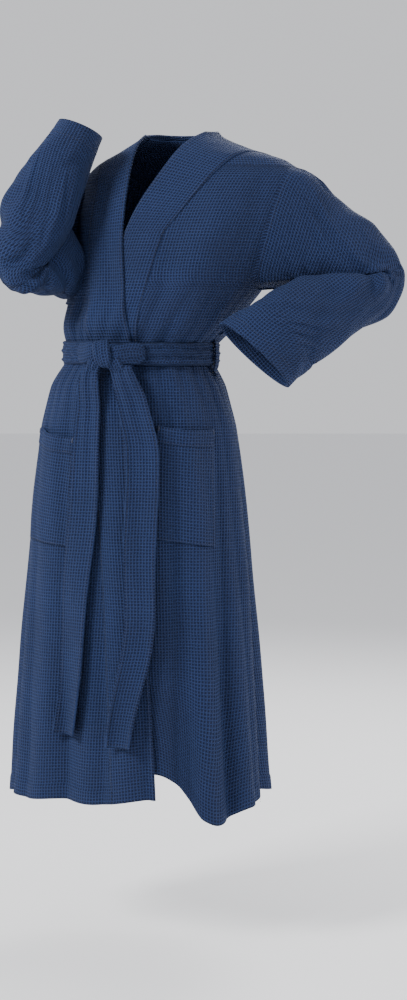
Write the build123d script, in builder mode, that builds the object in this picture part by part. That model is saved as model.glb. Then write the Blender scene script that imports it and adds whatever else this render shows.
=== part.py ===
"""Wrap bathrobe in the shape it takes when worn: wrapped, belted, one hand on the hip and one arm raised.

Millimetres, +Z up. The origin is at the base of the neck. The body is turned about +Z, so its own
sideways and front-to-back directions are those of body_plane, and right and left are the wearer's.
"""

import os

from build123d import *

os.makedirs("parts", exist_ok=True)

# Cloth and clearances
cloth = 3.0  # one layer of waffle cloth, with its loft
layer_gap = 1.0  # air between two layers that lie on each other
seam_gap = 1.2  # between two pieces that are sewn edge to edge
joint_gap = 5.0  # between two sleeve parts that move apart
reach = 700.0  # longer than any piece, for cutting tools
overrun = 1.0  # cutting outlines pass the cloth by this much

# The body and how it stands
body_turn = 22.0  # the wearer faces this far to the right of straight ahead
neck_top = 22.0
neck_half_width = 58.0
neck_half_depth = 62.0
neck_shift = 3.0
shoulder_half_width = 205.0
chest_half_depth = 126.0
waist_height = -367.0
waist_shift = -80.0
waist_half_width = 126.0
waist_half_depth = 115.0
hip_height = -504.0
hip_half_width = 178.0
hip_half_depth = 138.0
hem_height = -1168.0
hem_half_width = 236.0
hem_half_depth = 172.0
hip_shift = -84.0  # the hips stand this far to the wearer's right of the neck

# Height, sideways shift, half width and half depth of the inner layer
# The shares blend one size into the next
skirt_length = hip_height - hem_height
body_sections = (
    (neck_top, neck_shift, neck_half_width, neck_half_depth),
    (-5.0, 8.0, 0.52 * shoulder_half_width, 82.0),
    (-32.0, 20.0, 0.86 * shoulder_half_width, 98.0),
    (-62.0, 22.0, shoulder_half_width, 110.0),
    (-110.0, 12.0, shoulder_half_width, 120.0),
    (-180.0, -8.0, 0.95 * shoulder_half_width, chest_half_depth),
    (-250.0, -30.0, 0.86 * shoulder_half_width, chest_half_depth),
    (-310.0, -60.0, 0.3 * shoulder_half_width + 0.66 * waist_half_width, 120.0),
    (waist_height, waist_shift, waist_half_width, waist_half_depth),
    (waist_height - 62.0, hip_shift, 0.5 * (waist_half_width + hip_half_width), 126.0),
    (hip_height, hip_shift, hip_half_width, hip_half_depth),
    (
        hip_height - 0.3 * skirt_length,
        hip_shift,
        0.6 * hip_half_width + 0.4 * hem_half_width,
        0.6 * hip_half_depth + 0.4 * hem_half_depth,
    ),
    (
        hip_height - 0.65 * skirt_length,
        hip_shift,
        0.28 * hip_half_width + 0.72 * hem_half_width,
        0.28 * hip_half_depth + 0.72 * hem_half_depth,
    ),
    (hem_height, hip_shift, hem_half_width, hem_half_depth),
)

# Fronts, bands and armholes, as sideways and upward positions seen from the front of the body
band_width = 75.0
band_inset = 8.0  # the band narrows the neck by this much on each side
layer_inset = 2.0  # the same for the band of the under layer
band_drop = 62.0  # how far the band comes down behind the neck
lap = 100.0  # each front edge passes the middle by this much at the hem
waist_lap = 0.35 * lap
low_lap = 0.9 * lap
low_edge_height = -893.0
v_point = (-54.0, -158.0)
left_armhole = ((218.0, -34.0), (141.0, -263.0))
right_armhole = ((-162.0, -56.0), (-204.0, -272.0))
right_edge = (
    (band_inset - neck_half_width, neck_top + overrun),
    v_point,
    (waist_shift + waist_lap, waist_height),
    (hip_shift + low_lap, low_edge_height),
    (hip_shift + lap, hem_height - overrun),
)
left_edge = (
    (neck_half_width - layer_inset, neck_top + overrun),
    v_point,
    (waist_shift - waist_lap, waist_height),
    (hip_shift - low_lap, low_edge_height),
    (hip_shift - lap, hem_height - overrun),
)

# Layers, as distances out from the body sections
inner_layer = 0.0
outer_layer = cloth + layer_gap
pocket_gap = 0.5
pocket_layer = outer_layer + cloth + pocket_gap
pocket_room = 12.0
pocket_cloth = 2.5
pocket_face = pocket_layer + pocket_room + pocket_cloth
hem_strip = 1.5
hem_strip_gap = 0.2
tack_length = 8.0
tack_width = 3.0
tack_thickness = 0.8
tack_gap = 0.4
belt_layer = outer_layer + cloth + layer_gap
belt_height = 40.0
belt_thickness = 12.0
loop_layer = belt_layer + belt_thickness + layer_gap
loop_width = 14.0
loop_cloth = 2.5
loop_ease = 8.0  # room above and below the belt
tail_layer = pocket_face + hem_strip + 2.2 * layer_gap
knot_width = 58.0
knot_height = 42.0
knot_depth = 34.0
knot_standoff = 7.0  # the belt flares out above and below the waist

# Patch pockets: mouth then bottom corners, seen from the front of the body
left_pocket_outline = ((2.0, -492.0), (80.0, -500.0), (92.0, -705.0), (4.0, -690.0))
right_pocket_outline = ((-228.0, -498.0), (-142.0, -515.0), (-158.0, -708.0), (-260.0, -698.0))
pocket_hem_height = 30.0

# Belt tails: middle of the tail, height and width, from the knot down
knot_tail_gap = 4.0
tail_top = waist_height - 0.5 * knot_height - knot_tail_gap
right_tail_line = (
    (-104.0, tail_top, 26.0),
    (-112.0, -540.0, 44.0),
    (-129.0, -792.0, 52.0),
    (-150.0, -1039.0, 40.0),
)
left_tail_line = (
    (-56.0, tail_top, 30.0),
    (-20.0, -540.0, 52.0),
    (-16.0, -792.0, 46.0),
    (-44.0, -1051.0, 26.0),
)

# Sleeves: middle of the tube, half height and half depth, from the armhole or elbow outwards
left_upper_line = (
    ((110.0, -45.0, -99.0), 110.0, 60.0),
    ((190.0, -62.0, -141.0), 96.0, 60.0),
    ((262.0, -68.0, -179.0), 80.0, 58.0),
    ((330.0, -72.0, -214.0), 60.0, 52.0),
    ((380.0, -74.0, -240.0), 26.0, 26.0),
)
left_lower_line = (
    ((384.0, -76.0, -244.0), 20.0, 24.0),
    ((330.0, -92.0, -255.0), 50.0, 50.0),
    ((262.0, -116.0, -276.0), 60.0, 54.0),
    ((200.0, -138.0, -308.0), 70.0, 54.0),
    ((126.0, -160.0, -371.0), 79.0, 48.0),
)
left_elbow = (296.0, -80.0, -238.0)
left_elbow_tilt = (0.06, -0.25, -0.97)  # normal of the fold, towards the lower part
left_cuff_facing_way = (-0.66, -0.22, -0.72)
right_upper_line = (
    ((-90.0, 82.0, -140.0), 108.0, 60.0),
    ((-150.0, 42.0, -163.0), 100.0, 60.0),
    ((-205.0, -8.0, -184.0), 84.0, 58.0),
    ((-250.0, -50.0, -203.0), 66.0, 52.0),
    ((-278.0, -78.0, -215.0), 44.0, 40.0),
)
right_lower_line = (
    ((-278.0, -82.0, -236.0), 30.0, 30.0),
    ((-262.0, -86.0, -185.0), 58.0, 52.0),
    ((-250.0, -88.0, -120.0), 66.0, 56.0),
    ((-216.0, -80.0, -50.0), 52.0, 60.0),
    ((-176.0, -66.0, 24.0), 41.0, 66.0),
)
right_elbow = (-242.0, -66.0, -178.0)
right_elbow_tilt = (-0.43, -0.56, 0.71)
right_cuff_facing_way = (0.37, 0.05, 0.93)
cuff_facing_length = 50.0
cuff_facing_cloth = 2.0
cuff_facing_gap = 0.5

# Small pieces inside the neck and the side seam
hang_loop_width = 60.0
hang_loop_length = 45.0
hang_loop_strip = 8.0
hang_loop_height = 8.0
hang_loop_inset = 4.0  # forward of the back of the neck
neck_label_size = (50.0, 26.0)
neck_label_height = -92.0
care_label_size = (34.0, 52.0)
care_label_height = -760.0
care_label_inset = 2.0  # behind the side seam
label_cloth = 0.8

body_plane = Plane.XY.rotated((0.0, 0.0, -body_turn))
front_view = Plane(origin=(0.0, 0.0, 0.0), x_dir=body_plane.x_dir, z_dir=-body_plane.y_dir)
left_side_view = Plane(origin=(0.0, 0.0, 0.0), x_dir=body_plane.y_dir, z_dir=body_plane.x_dir)
right_side_view = Plane(origin=(0.0, 0.0, 0.0), x_dir=-body_plane.y_dir, z_dir=-body_plane.x_dir)


def loft_body(distance, mode=Mode.ADD):
    """The worn outline, moved out by distance, from the hem to the neck."""
    sections = []
    for height, shift, half_width, half_depth in body_sections:
        with BuildSketch(body_plane.offset(height)) as section:
            with Locations((shift, 0.0)):
                Ellipse(half_width + distance, half_depth + distance)
        sections.append(section.sketch)
    loft(sections, ruled=True, mode=mode)


def body_layer(distance, thickness):
    """A hollow layer of the body, its inner face at distance."""
    loft_body(distance + thickness)
    loft_body(distance, mode=Mode.SUBTRACT)


def cut_by(view, points, start, length, mode):
    """Extrude an outline drawn in a view, and keep or take away what is in it."""
    with BuildSketch(view.offset(start)) as outline:
        with BuildLine():
            Polyline(*points, close=True)
        make_face()
    way = view.z_dir if length > 0.0 else -view.z_dir
    extrude(outline.sketch, amount=abs(length), dir=way, mode=mode)


def keep_slab(plane, thickness):
    """Keep what lies between a plane and another one thickness away."""
    with BuildSketch(plane) as slab:
        Rectangle(2.0 * reach, 2.0 * reach)
    way = plane.z_dir if thickness > 0.0 else -plane.z_dir
    extrude(slab.sketch, amount=abs(thickness), dir=way, mode=Mode.INTERSECT)


def moved(points, sideways):
    """The same line, moved sideways."""
    return tuple((x + sideways, z) for x, z in points)


def beyond_line(line, sideways):
    """The outline of everything on one side of an edge line, out to the cutting reach."""
    top = (sideways * reach, line[0][1])
    bottom = (sideways * reach, line[-1][1])
    return (top, *line, bottom)


def strip(line, width):
    """The outline of a strip that has line as one edge and lies to one side of it."""
    return (*line, *reversed(moved(line, width)))


def cut_armhole(armhole, side):
    """Open the body beyond the armhole seam."""
    top, bottom = armhole
    outline = (
        (top[0], neck_top + reach),
        top,
        bottom,
        (side * reach, bottom[1]),
        (side * reach, neck_top + reach),
    )
    cut_by(front_view, outline, -reach, 2.0 * reach, Mode.SUBTRACT)


def cut_armholes():
    """Open the body beyond both armhole seams."""
    cut_armhole(left_armhole, 1.0)
    cut_armhole(right_armhole, -1.0)


def shrink(points, amount):
    """A four-cornered outline, mouth first, drawn in at its sides and bottom."""
    (x0, z0), (x1, z1), (x2, z2), (x3, z3) = points
    inward = 1.0 if x1 > x0 else -1.0
    return (
        (x0 + inward * amount, z0 + reach),
        (x1 - inward * amount, z1 + reach),
        (x2 - inward * amount, z2 + amount),
        (x3 + inward * amount, z3 + amount),
    )


def patch_pocket(outline):
    """A shallow pouch on the outside of a front, closed at its sides and bottom."""
    body_layer(pocket_layer, pocket_room + pocket_cloth)
    cut_by(front_view, outline, 0.0, reach, Mode.INTERSECT)
    with BuildPart(mode=Mode.PRIVATE) as pouch_room:
        body_layer(pocket_layer - overrun, pocket_room + overrun)
        cut_by(front_view, shrink(outline, pocket_cloth), 0.0, reach, Mode.INTERSECT)
    add(pouch_room.part, mode=Mode.SUBTRACT)


def pocket_mouth_strip(outline):
    """The doubled hem along a pocket's mouth, on its outside."""
    (x0, z0), (x1, z1), _, _ = outline
    mouth = ((x0, z0), (x1, z1), (x1, z1 - pocket_hem_height), (x0, z0 - pocket_hem_height))
    body_layer(pocket_face + hem_strip_gap, hem_strip)
    cut_by(front_view, mouth, 0.0, reach, Mode.INTERSECT)


def tail(line):
    """A belt tail that hangs down over the front."""
    right_side = [(x + 0.5 * width, z) for x, z, width in line]
    left_side = [(x - 0.5 * width, z) for x, z, width in line]
    body_layer(tail_layer, cloth)
    cut_by(front_view, (*right_side, *reversed(left_side)), 0.0, reach, Mode.INTERSECT)


def belt_loop(view):
    """A cloth loop on the side seam, round the belt."""
    half_height = 0.5 * belt_height + loop_ease
    low = waist_height - half_height
    high = waist_height + half_height
    half_width = 0.5 * loop_width
    outline = ((-half_width, low), (half_width, low), (half_width, high), (-half_width, high))
    body_layer(belt_layer, loop_layer + loop_cloth - belt_layer)
    cut_by(view, outline, 0.0, reach, Mode.INTERSECT)
    with BuildPart(mode=Mode.PRIVATE) as belt_room:
        body_layer(belt_layer - overrun, loop_layer - belt_layer + overrun)
        keep_slab(Plane.XY.offset(low + loop_cloth), 2.0 * (half_height - loop_cloth))
    add(belt_room.part, mode=Mode.SUBTRACT)


def loft_sleeve(line, end_way, distance, mode=Mode.ADD):
    """A tube of ellipses along a sleeve; the last one faces end_way, if it is given."""
    middles = [Vector(*middle) for middle, _, _ in line]
    sections = []
    for index, (_, half_height, half_depth) in enumerate(line):
        before = middles[max(index - 1, 0)]
        after = middles[min(index + 1, len(line) - 1)]
        way = after - before
        if end_way and index == len(line) - 1:
            way = Vector(*end_way)
        place = Plane(origin=middles[index], x_dir=(0.0, 1.0, 0.0), z_dir=way)
        with BuildSketch(place) as section:
            Ellipse(half_depth + distance, half_height + distance)
        sections.append(section.sketch)
    loft(sections, ruled=True, mode=mode)


def sleeve_tube(line, end_way=None):
    """A hollow sleeve part."""
    loft_sleeve(line, end_way, 0.0)
    loft_sleeve(line, end_way, -cloth, mode=Mode.SUBTRACT)


def keep_beyond_armhole(armhole, side):
    """Keep the part of a sleeve that lies beyond its armhole seam."""
    (x0, z0), (x1, z1) = moved(armhole, side * joint_gap)
    slope = (x0 - x1) / (z0 - z1)
    high = (x0 + slope * reach, z0 + reach)
    low = (x1 - slope * reach, z1 - reach)
    outline = (high, low, (side * 2.0 * reach, z1 - reach), (side * 2.0 * reach, z0 + reach))
    cut_by(front_view, outline, -reach, 2.0 * reach, Mode.INTERSECT)


def keep_side_of_elbow(elbow, tilt, side):
    """Keep the part of a sleeve on one side of the fold at the elbow."""
    fold = Plane(origin=elbow, x_dir=(0.0, 1.0, 0.0), z_dir=tilt)
    keep_slab(fold.offset(side * 0.5 * joint_gap), side * reach)


def cuff_facing(line, end_way):
    """The turned-in facing inside a sleeve's end."""
    outside = -cloth - cuff_facing_gap
    loft_sleeve(line, end_way, outside)
    loft_sleeve(line, end_way, outside - cuff_facing_cloth, mode=Mode.SUBTRACT)
    end = Plane(origin=line[-1][0], x_dir=(0.0, 1.0, 0.0), z_dir=end_way)
    keep_slab(end.offset(-cuff_facing_length), reach)


# Back: everything behind the side seams, below the band
with BuildPart() as back_panel:
    body_layer(inner_layer, cloth)
    above = neck_top + overrun
    behind = ((-reach, above), (-reach, hem_height), (reach, hem_height), (reach, above))
    cut_by(front_view, behind, -0.5 * seam_gap, -reach, Mode.INTERSECT)
    half_band = neck_half_width - band_inset + band_width + seam_gap
    below = neck_top - band_drop - seam_gap
    under_band = ((-half_band, above), (-half_band, below), (half_band, below), (half_band, above))
    cut_by(front_view, under_band, reach, -2.0 * reach, Mode.SUBTRACT)
    cut_armholes()

# Right front: the outer layer, from the right side seam to its band
with BuildPart() as right_front_panel:
    body_layer(outer_layer, cloth)
    panel = beyond_line(moved(right_edge, -band_width - seam_gap), -1.0)
    cut_by(front_view, panel, 0.5 * seam_gap, reach, Mode.INTERSECT)
    cut_armholes()

# Left front: the inner layer, from its band to the left side seam
with BuildPart() as left_front_panel:
    body_layer(inner_layer, cloth)
    panel = beyond_line(moved(left_edge, band_width + seam_gap), 1.0)
    cut_by(front_view, panel, 0.5 * seam_gap, reach, Mode.INTERSECT)
    cut_armholes()

# Bands: a doubled strip up each front edge and on round the back of the neck
band_foot = neck_top - band_drop
band_reach = neck_half_width - band_inset + band_width
with BuildPart() as right_collar_band:
    body_layer(outer_layer, cloth)
    cut_by(front_view, strip(right_edge, -band_width), 0.0, reach, Mode.INTERSECT)
    with BuildPart(mode=Mode.PRIVATE) as right_neck_half:
        body_layer(outer_layer, cloth)
        neck_half = (
            (-0.5 * seam_gap, neck_top + overrun),
            (-0.5 * seam_gap, band_foot),
            (-band_reach, band_foot),
            (-band_reach, neck_top + overrun),
        )
        cut_by(front_view, neck_half, 0.0, -reach, Mode.INTERSECT)
    add(right_neck_half.part)
    cut_armhole(right_armhole, -1.0)

with BuildPart() as left_collar_band:
    body_layer(inner_layer, cloth)
    cut_by(front_view, strip(left_edge, band_width), 0.0, reach, Mode.INTERSECT)
    with BuildPart(mode=Mode.PRIVATE) as left_neck_half:
        body_layer(inner_layer, cloth)
        neck_half = (
            (0.5 * seam_gap, neck_top + overrun),
            (0.5 * seam_gap, band_foot),
            (band_reach, band_foot),
            (band_reach, neck_top + overrun),
        )
        cut_by(front_view, neck_half, 0.0, -reach, Mode.INTERSECT)
    add(left_neck_half.part)

# Patch pockets and the hems along their mouths
with BuildPart() as right_pocket:
    patch_pocket(right_pocket_outline)

with BuildPart() as left_pocket:
    patch_pocket(left_pocket_outline)

with BuildPart() as right_pocket_hem:
    pocket_mouth_strip(right_pocket_outline)

with BuildPart() as left_pocket_hem:
    pocket_mouth_strip(left_pocket_outline)

# Bar tacks at the four mouth corners
with BuildPart() as bar_tacks:
    for outline in (right_pocket_outline, left_pocket_outline):
        for (x, z), side in zip(outline[:2], (1.0, -1.0)):
            with BuildPart(mode=Mode.PRIVATE) as tack:
                body_layer(pocket_face + hem_strip + tack_gap, tack_thickness)
                near = x + side * overrun
                far = x + side * tack_length
                high = z - overrun
                corner = ((near, high), (far, high), (far, high - tack_width), (near, high - tack_width))
                cut_by(front_view, corner, 0.0, reach, Mode.INTERSECT)
            add(tack.part)

# Belt: the round at the waist, the knot and the two tails
with BuildPart() as belt_waist:
    body_layer(belt_layer, belt_thickness)
    keep_slab(Plane.XY.offset(waist_height - 0.5 * belt_height), belt_height)

knot_distance = waist_half_depth + belt_layer + belt_thickness + knot_standoff + 0.5 * knot_depth
with BuildPart() as belt_knot:
    with Locations(front_view.offset(knot_distance)):
        with Locations((waist_shift, waist_height)):
            Box(knot_width, knot_height, knot_depth)
    fillet(belt_knot.edges(), radius=0.3 * knot_depth)

with BuildPart() as belt_right_tail:
    tail(right_tail_line)

with BuildPart() as belt_left_tail:
    tail(left_tail_line)

with BuildPart() as right_belt_loop:
    belt_loop(right_side_view)

with BuildPart() as left_belt_loop:
    belt_loop(left_side_view)

# Sleeves, each in two parts that meet at the elbow, and the facings inside their ends
with BuildPart() as right_sleeve_upper:
    sleeve_tube(right_upper_line)
    keep_beyond_armhole(right_armhole, -1.0)
    keep_side_of_elbow(right_elbow, right_elbow_tilt, -1.0)

with BuildPart() as right_sleeve_lower:
    sleeve_tube(right_lower_line, right_cuff_facing_way)
    keep_side_of_elbow(right_elbow, right_elbow_tilt, 1.0)

with BuildPart() as right_cuff_facing:
    cuff_facing(right_lower_line, right_cuff_facing_way)

with BuildPart() as left_sleeve_upper:
    sleeve_tube(left_upper_line)
    keep_beyond_armhole(left_armhole, 1.0)
    keep_side_of_elbow(left_elbow, left_elbow_tilt, -1.0)

with BuildPart() as left_sleeve_lower:
    sleeve_tube(left_lower_line, left_cuff_facing_way)
    keep_side_of_elbow(left_elbow, left_elbow_tilt, 1.0)

with BuildPart() as left_cuff_facing:
    cuff_facing(left_lower_line, left_cuff_facing_way)

# Hang loop inside the back of the neck, hanging down from its two sewn ends
with BuildPart() as hang_loop:
    loop_plane = front_view.offset(hang_loop_inset - neck_half_depth)
    with BuildSketch(loop_plane):
        with Locations((neck_shift, hang_loop_height - 0.5 * hang_loop_length)):
            Rectangle(hang_loop_width, hang_loop_length)
            with Locations((0.0, 0.5 * hang_loop_strip)):
                Rectangle(
                    hang_loop_width - 2.0 * hang_loop_strip,
                    hang_loop_length - 2.0 * hang_loop_strip,
                    mode=Mode.SUBTRACT,
                )
    extrude(amount=cloth)

# Blank labels: one inside the back of the neck and one inside the left side seam
with BuildPart() as neck_label:
    body_layer(-2.0 * label_cloth, label_cloth)
    half_wide = 0.5 * neck_label_size[0]
    low = neck_label_height - 0.5 * neck_label_size[1]
    high = neck_label_height + 0.5 * neck_label_size[1]
    outline = ((-half_wide, low), (half_wide, low), (half_wide, high), (-half_wide, high))
    cut_by(front_view, outline, 0.0, -reach, Mode.INTERSECT)

with BuildPart() as care_label:
    body_layer(-2.0 * label_cloth, label_cloth)
    low = care_label_height - 0.5 * care_label_size[1]
    high = care_label_height + 0.5 * care_label_size[1]
    near = care_label_inset
    far = care_label_inset + care_label_size[0]
    outline = ((near, low), (far, low), (far, high), (near, high))
    cut_by(left_side_view, outline, 0.0, reach, Mode.INTERSECT)

pieces = {
    "back_panel": back_panel,
    "right_front_panel": right_front_panel,
    "left_front_panel": left_front_panel,
    "right_collar_band": right_collar_band,
    "left_collar_band": left_collar_band,
    "right_pocket": right_pocket,
    "left_pocket": left_pocket,
    "right_pocket_hem": right_pocket_hem,
    "left_pocket_hem": left_pocket_hem,
    "bar_tacks": bar_tacks,
    "belt_waist": belt_waist,
    "belt_knot": belt_knot,
    "belt_right_tail": belt_right_tail,
    "belt_left_tail": belt_left_tail,
    "right_belt_loop": right_belt_loop,
    "left_belt_loop": left_belt_loop,
    "right_sleeve_upper": right_sleeve_upper,
    "right_sleeve_lower": right_sleeve_lower,
    "right_cuff_facing": right_cuff_facing,
    "left_sleeve_upper": left_sleeve_upper,
    "left_sleeve_lower": left_sleeve_lower,
    "left_cuff_facing": left_cuff_facing,
    "hang_loop": hang_loop,
    "neck_label": neck_label,
    "care_label": care_label,
}
for name, piece in pieces.items():
    piece.part.label = name
    export_step(piece.part, f"parts/{name}.step")
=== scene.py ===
"""Builds the looks of a waffle-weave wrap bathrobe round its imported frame.

Metres, +Z up, origin at the base of the neck. Right and left are the wearer's. Angles round the
body run from its left side (0) by the back (a quarter turn) and the right side (half) to the front.
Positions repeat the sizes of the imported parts, so a change of size there needs the same here.
"""

import math

import bmesh
import bpy
import numpy as np
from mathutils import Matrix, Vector
from mathutils.kdtree import KDTree


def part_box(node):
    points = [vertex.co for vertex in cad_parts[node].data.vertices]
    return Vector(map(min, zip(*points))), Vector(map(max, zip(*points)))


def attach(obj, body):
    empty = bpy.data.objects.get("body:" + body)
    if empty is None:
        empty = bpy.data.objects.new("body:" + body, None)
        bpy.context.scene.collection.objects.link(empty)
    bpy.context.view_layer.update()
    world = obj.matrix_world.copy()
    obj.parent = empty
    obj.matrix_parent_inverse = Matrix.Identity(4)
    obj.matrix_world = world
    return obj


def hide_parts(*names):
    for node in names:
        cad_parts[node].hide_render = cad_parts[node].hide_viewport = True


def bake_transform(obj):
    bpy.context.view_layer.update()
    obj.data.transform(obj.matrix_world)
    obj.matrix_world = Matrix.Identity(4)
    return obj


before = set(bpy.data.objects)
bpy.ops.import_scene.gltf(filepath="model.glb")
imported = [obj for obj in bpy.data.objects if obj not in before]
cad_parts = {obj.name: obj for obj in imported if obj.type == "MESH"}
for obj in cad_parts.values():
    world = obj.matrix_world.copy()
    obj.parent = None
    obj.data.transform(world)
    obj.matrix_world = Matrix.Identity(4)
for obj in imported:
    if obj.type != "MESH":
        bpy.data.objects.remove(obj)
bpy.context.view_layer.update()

bl_info = {
    "name": "Wrap Bathrobe",
    "version": (1, 0, 0),
    "blender": (4, 5, 0),
    "location": "View3D > Sidebar > Bathrobe",
    "description": (
        "Makes a worn waffle-weave bathrobe: "
        "panels, bands, sleeves, belt, pockets and stitching"),
    "category": "Object",
}

FULL_TURN = 2.0 * math.pi
HALF_TURN = math.pi
QUARTER_TURN = 0.5 * math.pi
BODY_TURN = math.radians(22.0)
TURN_COS = math.cos(BODY_TURN)
TURN_SIN = math.sin(BODY_TURN)

# The worn outline: height, sideways shift, half width and half depth
NECK_TOP = 0.022
WAIST = -0.367
HEM = -1.168
OUTLINE = np.array((
    (0.040, 0.003, 0.050, 0.052),
    (NECK_TOP, 0.003, 0.058, 0.062),
    (-0.005, 0.008, 0.107, 0.082),
    (-0.032, 0.020, 0.176, 0.098),
    (-0.062, 0.022, 0.205, 0.110),
    (-0.110, 0.012, 0.205, 0.120),
    (-0.180, -0.008, 0.195, 0.126),
    (-0.250, -0.030, 0.176, 0.126),
    (-0.310, -0.060, 0.145, 0.120),
    (WAIST, -0.080, 0.126, 0.115),
    (-0.429, -0.084, 0.152, 0.126),
    (-0.504, -0.084, 0.178, 0.138),
    (-0.703, -0.084, 0.201, 0.152),
    (-0.936, -0.084, 0.220, 0.162),
    (HEM, -0.084, 0.236, 0.172),
    (HEM - 0.060, -0.084, 0.241, 0.175),
))[::-1]

# Armhole seams: height then sideways place of the foot and the top
LEFT_ARMHOLE = np.array(((-0.263, 0.141), (-0.034, 0.218)))
RIGHT_ARMHOLE = np.array(((-0.272, -0.204), (-0.056, -0.162)))
BAND_WIDTH = 0.075
BAND_STITCHES = (0.045, 0.955)  # shares of its width
SEAM_TUCK = 0.012
SEAM_REACH = 0.03  # an armhole's seam is followed this far above its top
CROSSING = -0.158  # height at which the front edges cross
BAND_SEAM_TOP = -0.016  # height of the band's seam on top of the shoulder
HEM_REACH = 0.30  # the hem's rises and falls fade out this far above it
HEM_STITCHES = 0.024  # height of the hem's stitches above its fold
PANEL_STEP = 0.0058  # distance between the rows of a panel

# Edge lines: height then sideways place, seen from the front of the body
RIGHT_EDGE = np.array((
    (0.030, -0.048), (CROSSING, -0.054), (WAIST, -0.045), (-0.893, -0.003), (HEM - 0.06, 0.018),
))[::-1]
LEFT_EDGE = np.array((
    (0.030, 0.058), (CROSSING, -0.054), (WAIST, -0.115), (-0.893, -0.165), (HEM - 0.06, -0.180),
))[::-1]

# Layers: how far the outer face of each lies out from the outline
UNDER_LAYER = 0.0030
OVER_LAYER = 0.0070
BAND_RISE = 0.0016
POCKET_RISE = 0.0034

ROOT = "robe_body"


class RobeSizes(bpy.types.PropertyGroup):
    """Sizes a user would change."""

    cloth: bpy.props.FloatProperty(
        name="Cloth thickness", description="One layer of waffle cloth",
        default=0.0022, unit="LENGTH")
    cell: bpy.props.FloatProperty(
        name="Waffle cell", description="From one raised thread to the next",
        default=0.0056, unit="LENGTH")
    folds: bpy.props.FloatProperty(
        name="Fold depth", description="Scales every soft fold", default=1.0, min=0.0, max=2.0)
    stitch: bpy.props.FloatProperty(
        name="Stitch length", description="Length of one stitch", default=0.0030, unit="LENGTH")
    thread: bpy.props.FloatProperty(
        name="Thread radius", description="Half the thickness of the thread",
        default=0.00030, unit="LENGTH")


class RobeColours(bpy.types.PropertyGroup):
    """Colours a user would change."""

    # The raised threads' colour is a lit copy of the cloth colour and the sunken threads' colour a
    # darker copy: painted light on the ridges and painted shade in the hollows.
    ridge: bpy.props.FloatVectorProperty(
        name="Raised threads", description="Colour of the waffle's ridges", subtype="COLOR", size=4,
        default=(0.0130, 0.0270, 0.0900, 1.0))
    shaded_pit: bpy.props.FloatVectorProperty(
        name="Sunken threads", description="Colour of the waffle's hollows",
        subtype="COLOR", size=4,
        default=(0.0022, 0.0058, 0.0270, 1.0))
    thread: bpy.props.FloatVectorProperty(
        name="Sewing thread", description="Colour of the stitches", subtype="COLOR", size=4,
        default=(0.0100, 0.0210, 0.0720, 1.0))
    label: bpy.props.FloatVectorProperty(
        name="Label tape", description="Colour of the blank labels", subtype="COLOR", size=4,
        default=(0.62, 0.61, 0.57, 1.0))


def sizes():
    """The user's sizes."""
    return bpy.context.scene.robe_sizes


def colours():
    """The user's colours."""
    return bpy.context.scene.robe_colours


# ---------------------------------------------------------------- smooth lines and the worn body


def smooth_lookup(at, knots, values):
    """Smooth interpolation that never swings past the given values."""
    at = np.clip(np.asarray(at, float), knots[0], knots[-1])
    step = np.diff(knots)
    slope = np.diff(values) / step
    tangent = np.zeros(len(values))
    both = slope[:-1] * slope[1:] > 0.0
    mean = 2.0 * slope[:-1] * slope[1:] / np.where(both, slope[:-1] + slope[1:], 1.0)
    tangent[1:-1] = np.where(both, mean, 0.0)
    tangent[0], tangent[-1] = slope[0], slope[-1]
    i = np.clip(np.searchsorted(knots, at, side="right") - 1, 0, len(step) - 1)
    t = (at - knots[i]) / step[i]
    a = (1.0 + 2.0 * t) * (1.0 - t) ** 2
    b = t * (1.0 - t) ** 2
    c = t * t * (3.0 - 2.0 * t)
    d = t * t * (t - 1.0)
    return (
        a * values[i] + b * step[i] * tangent[i]
        + c * values[i + 1] + d * step[i] * tangent[i + 1])


def ease(value):
    """Goes smoothly from 0 to 1."""
    t = np.clip(value, 0.0, 1.0)
    return t * t * (3.0 - 2.0 * t)


def seeded_waves(seed, count):
    """The way, pace and phase of each of a few crossing waves."""
    draw = np.random.default_rng(seed)
    for _ in range(count):
        yield draw.uniform(0.0, FULL_TURN), draw.uniform(0.6, 1.7), draw.uniform(0.0, FULL_TURN)


def soft_noise(u, v, seed, waves=9):
    """A smooth seeded pattern between about -1 and 1, from a few crossing waves."""
    total = np.zeros(np.broadcast(u, v).shape)
    for way, pace, phase in seeded_waves(seed, waves):
        total = total + np.sin(pace * (u * math.cos(way) + v * math.sin(way)) + phase)
    return total / (0.55 * waves)


def ring_noise(turns, angle, v, seed, waves=9):
    """A smooth seeded pattern between about -1 and 1 that closes on itself round the body."""
    total = np.zeros(np.broadcast(angle, v).shape)
    for way, pace, phase in seeded_waves(seed, waves):
        around = round(pace * turns * math.cos(way))
        total = total + np.sin(around * angle + pace * math.sin(way) * v + phase)
    return total / (0.55 * waves)


def hump(value, width):
    """1 at zero, fading to nothing within about twice the width."""
    return np.exp(-((value / width) ** 2))


def squared(wave, power):
    """A wave made squarer, for the section of a flattened cord."""
    return np.sign(wave) * np.abs(wave) ** power


def outline_at(height):
    """Sideways shift, half width and half depth of the worn outline."""
    return tuple(smooth_lookup(height, OUTLINE[:, 0], OUTLINE[:, column]) for column in (1, 2, 3))


def front_angle(x, height):
    """The angle round the front at which the body is this far sideways."""
    shift, half_width, _ = outline_at(height)
    return FULL_TURN - np.arccos(np.clip((x - shift) / half_width, -1.0, 1.0))


def back_angle(x, height):
    """The angle round the back at which the body is this far sideways."""
    return FULL_TURN - front_angle(x, height)


def armhole_angle(armhole, height, front):
    """Where the armhole seam is at this height, or the side or shoulder seam outside it."""
    side = 0.0 if armhole[0, 1] > 0.0 else HALF_TURN
    x = np.interp(height, armhole[:, 0], armhole[:, 1])
    angle = front_angle(x, height) if front else back_angle(x, height)
    closed = FULL_TURN if front and side == 0.0 else side
    return np.where((height > armhole[0, 0]) & (height < armhole[1, 0] + SEAM_REACH), angle, closed)


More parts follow.
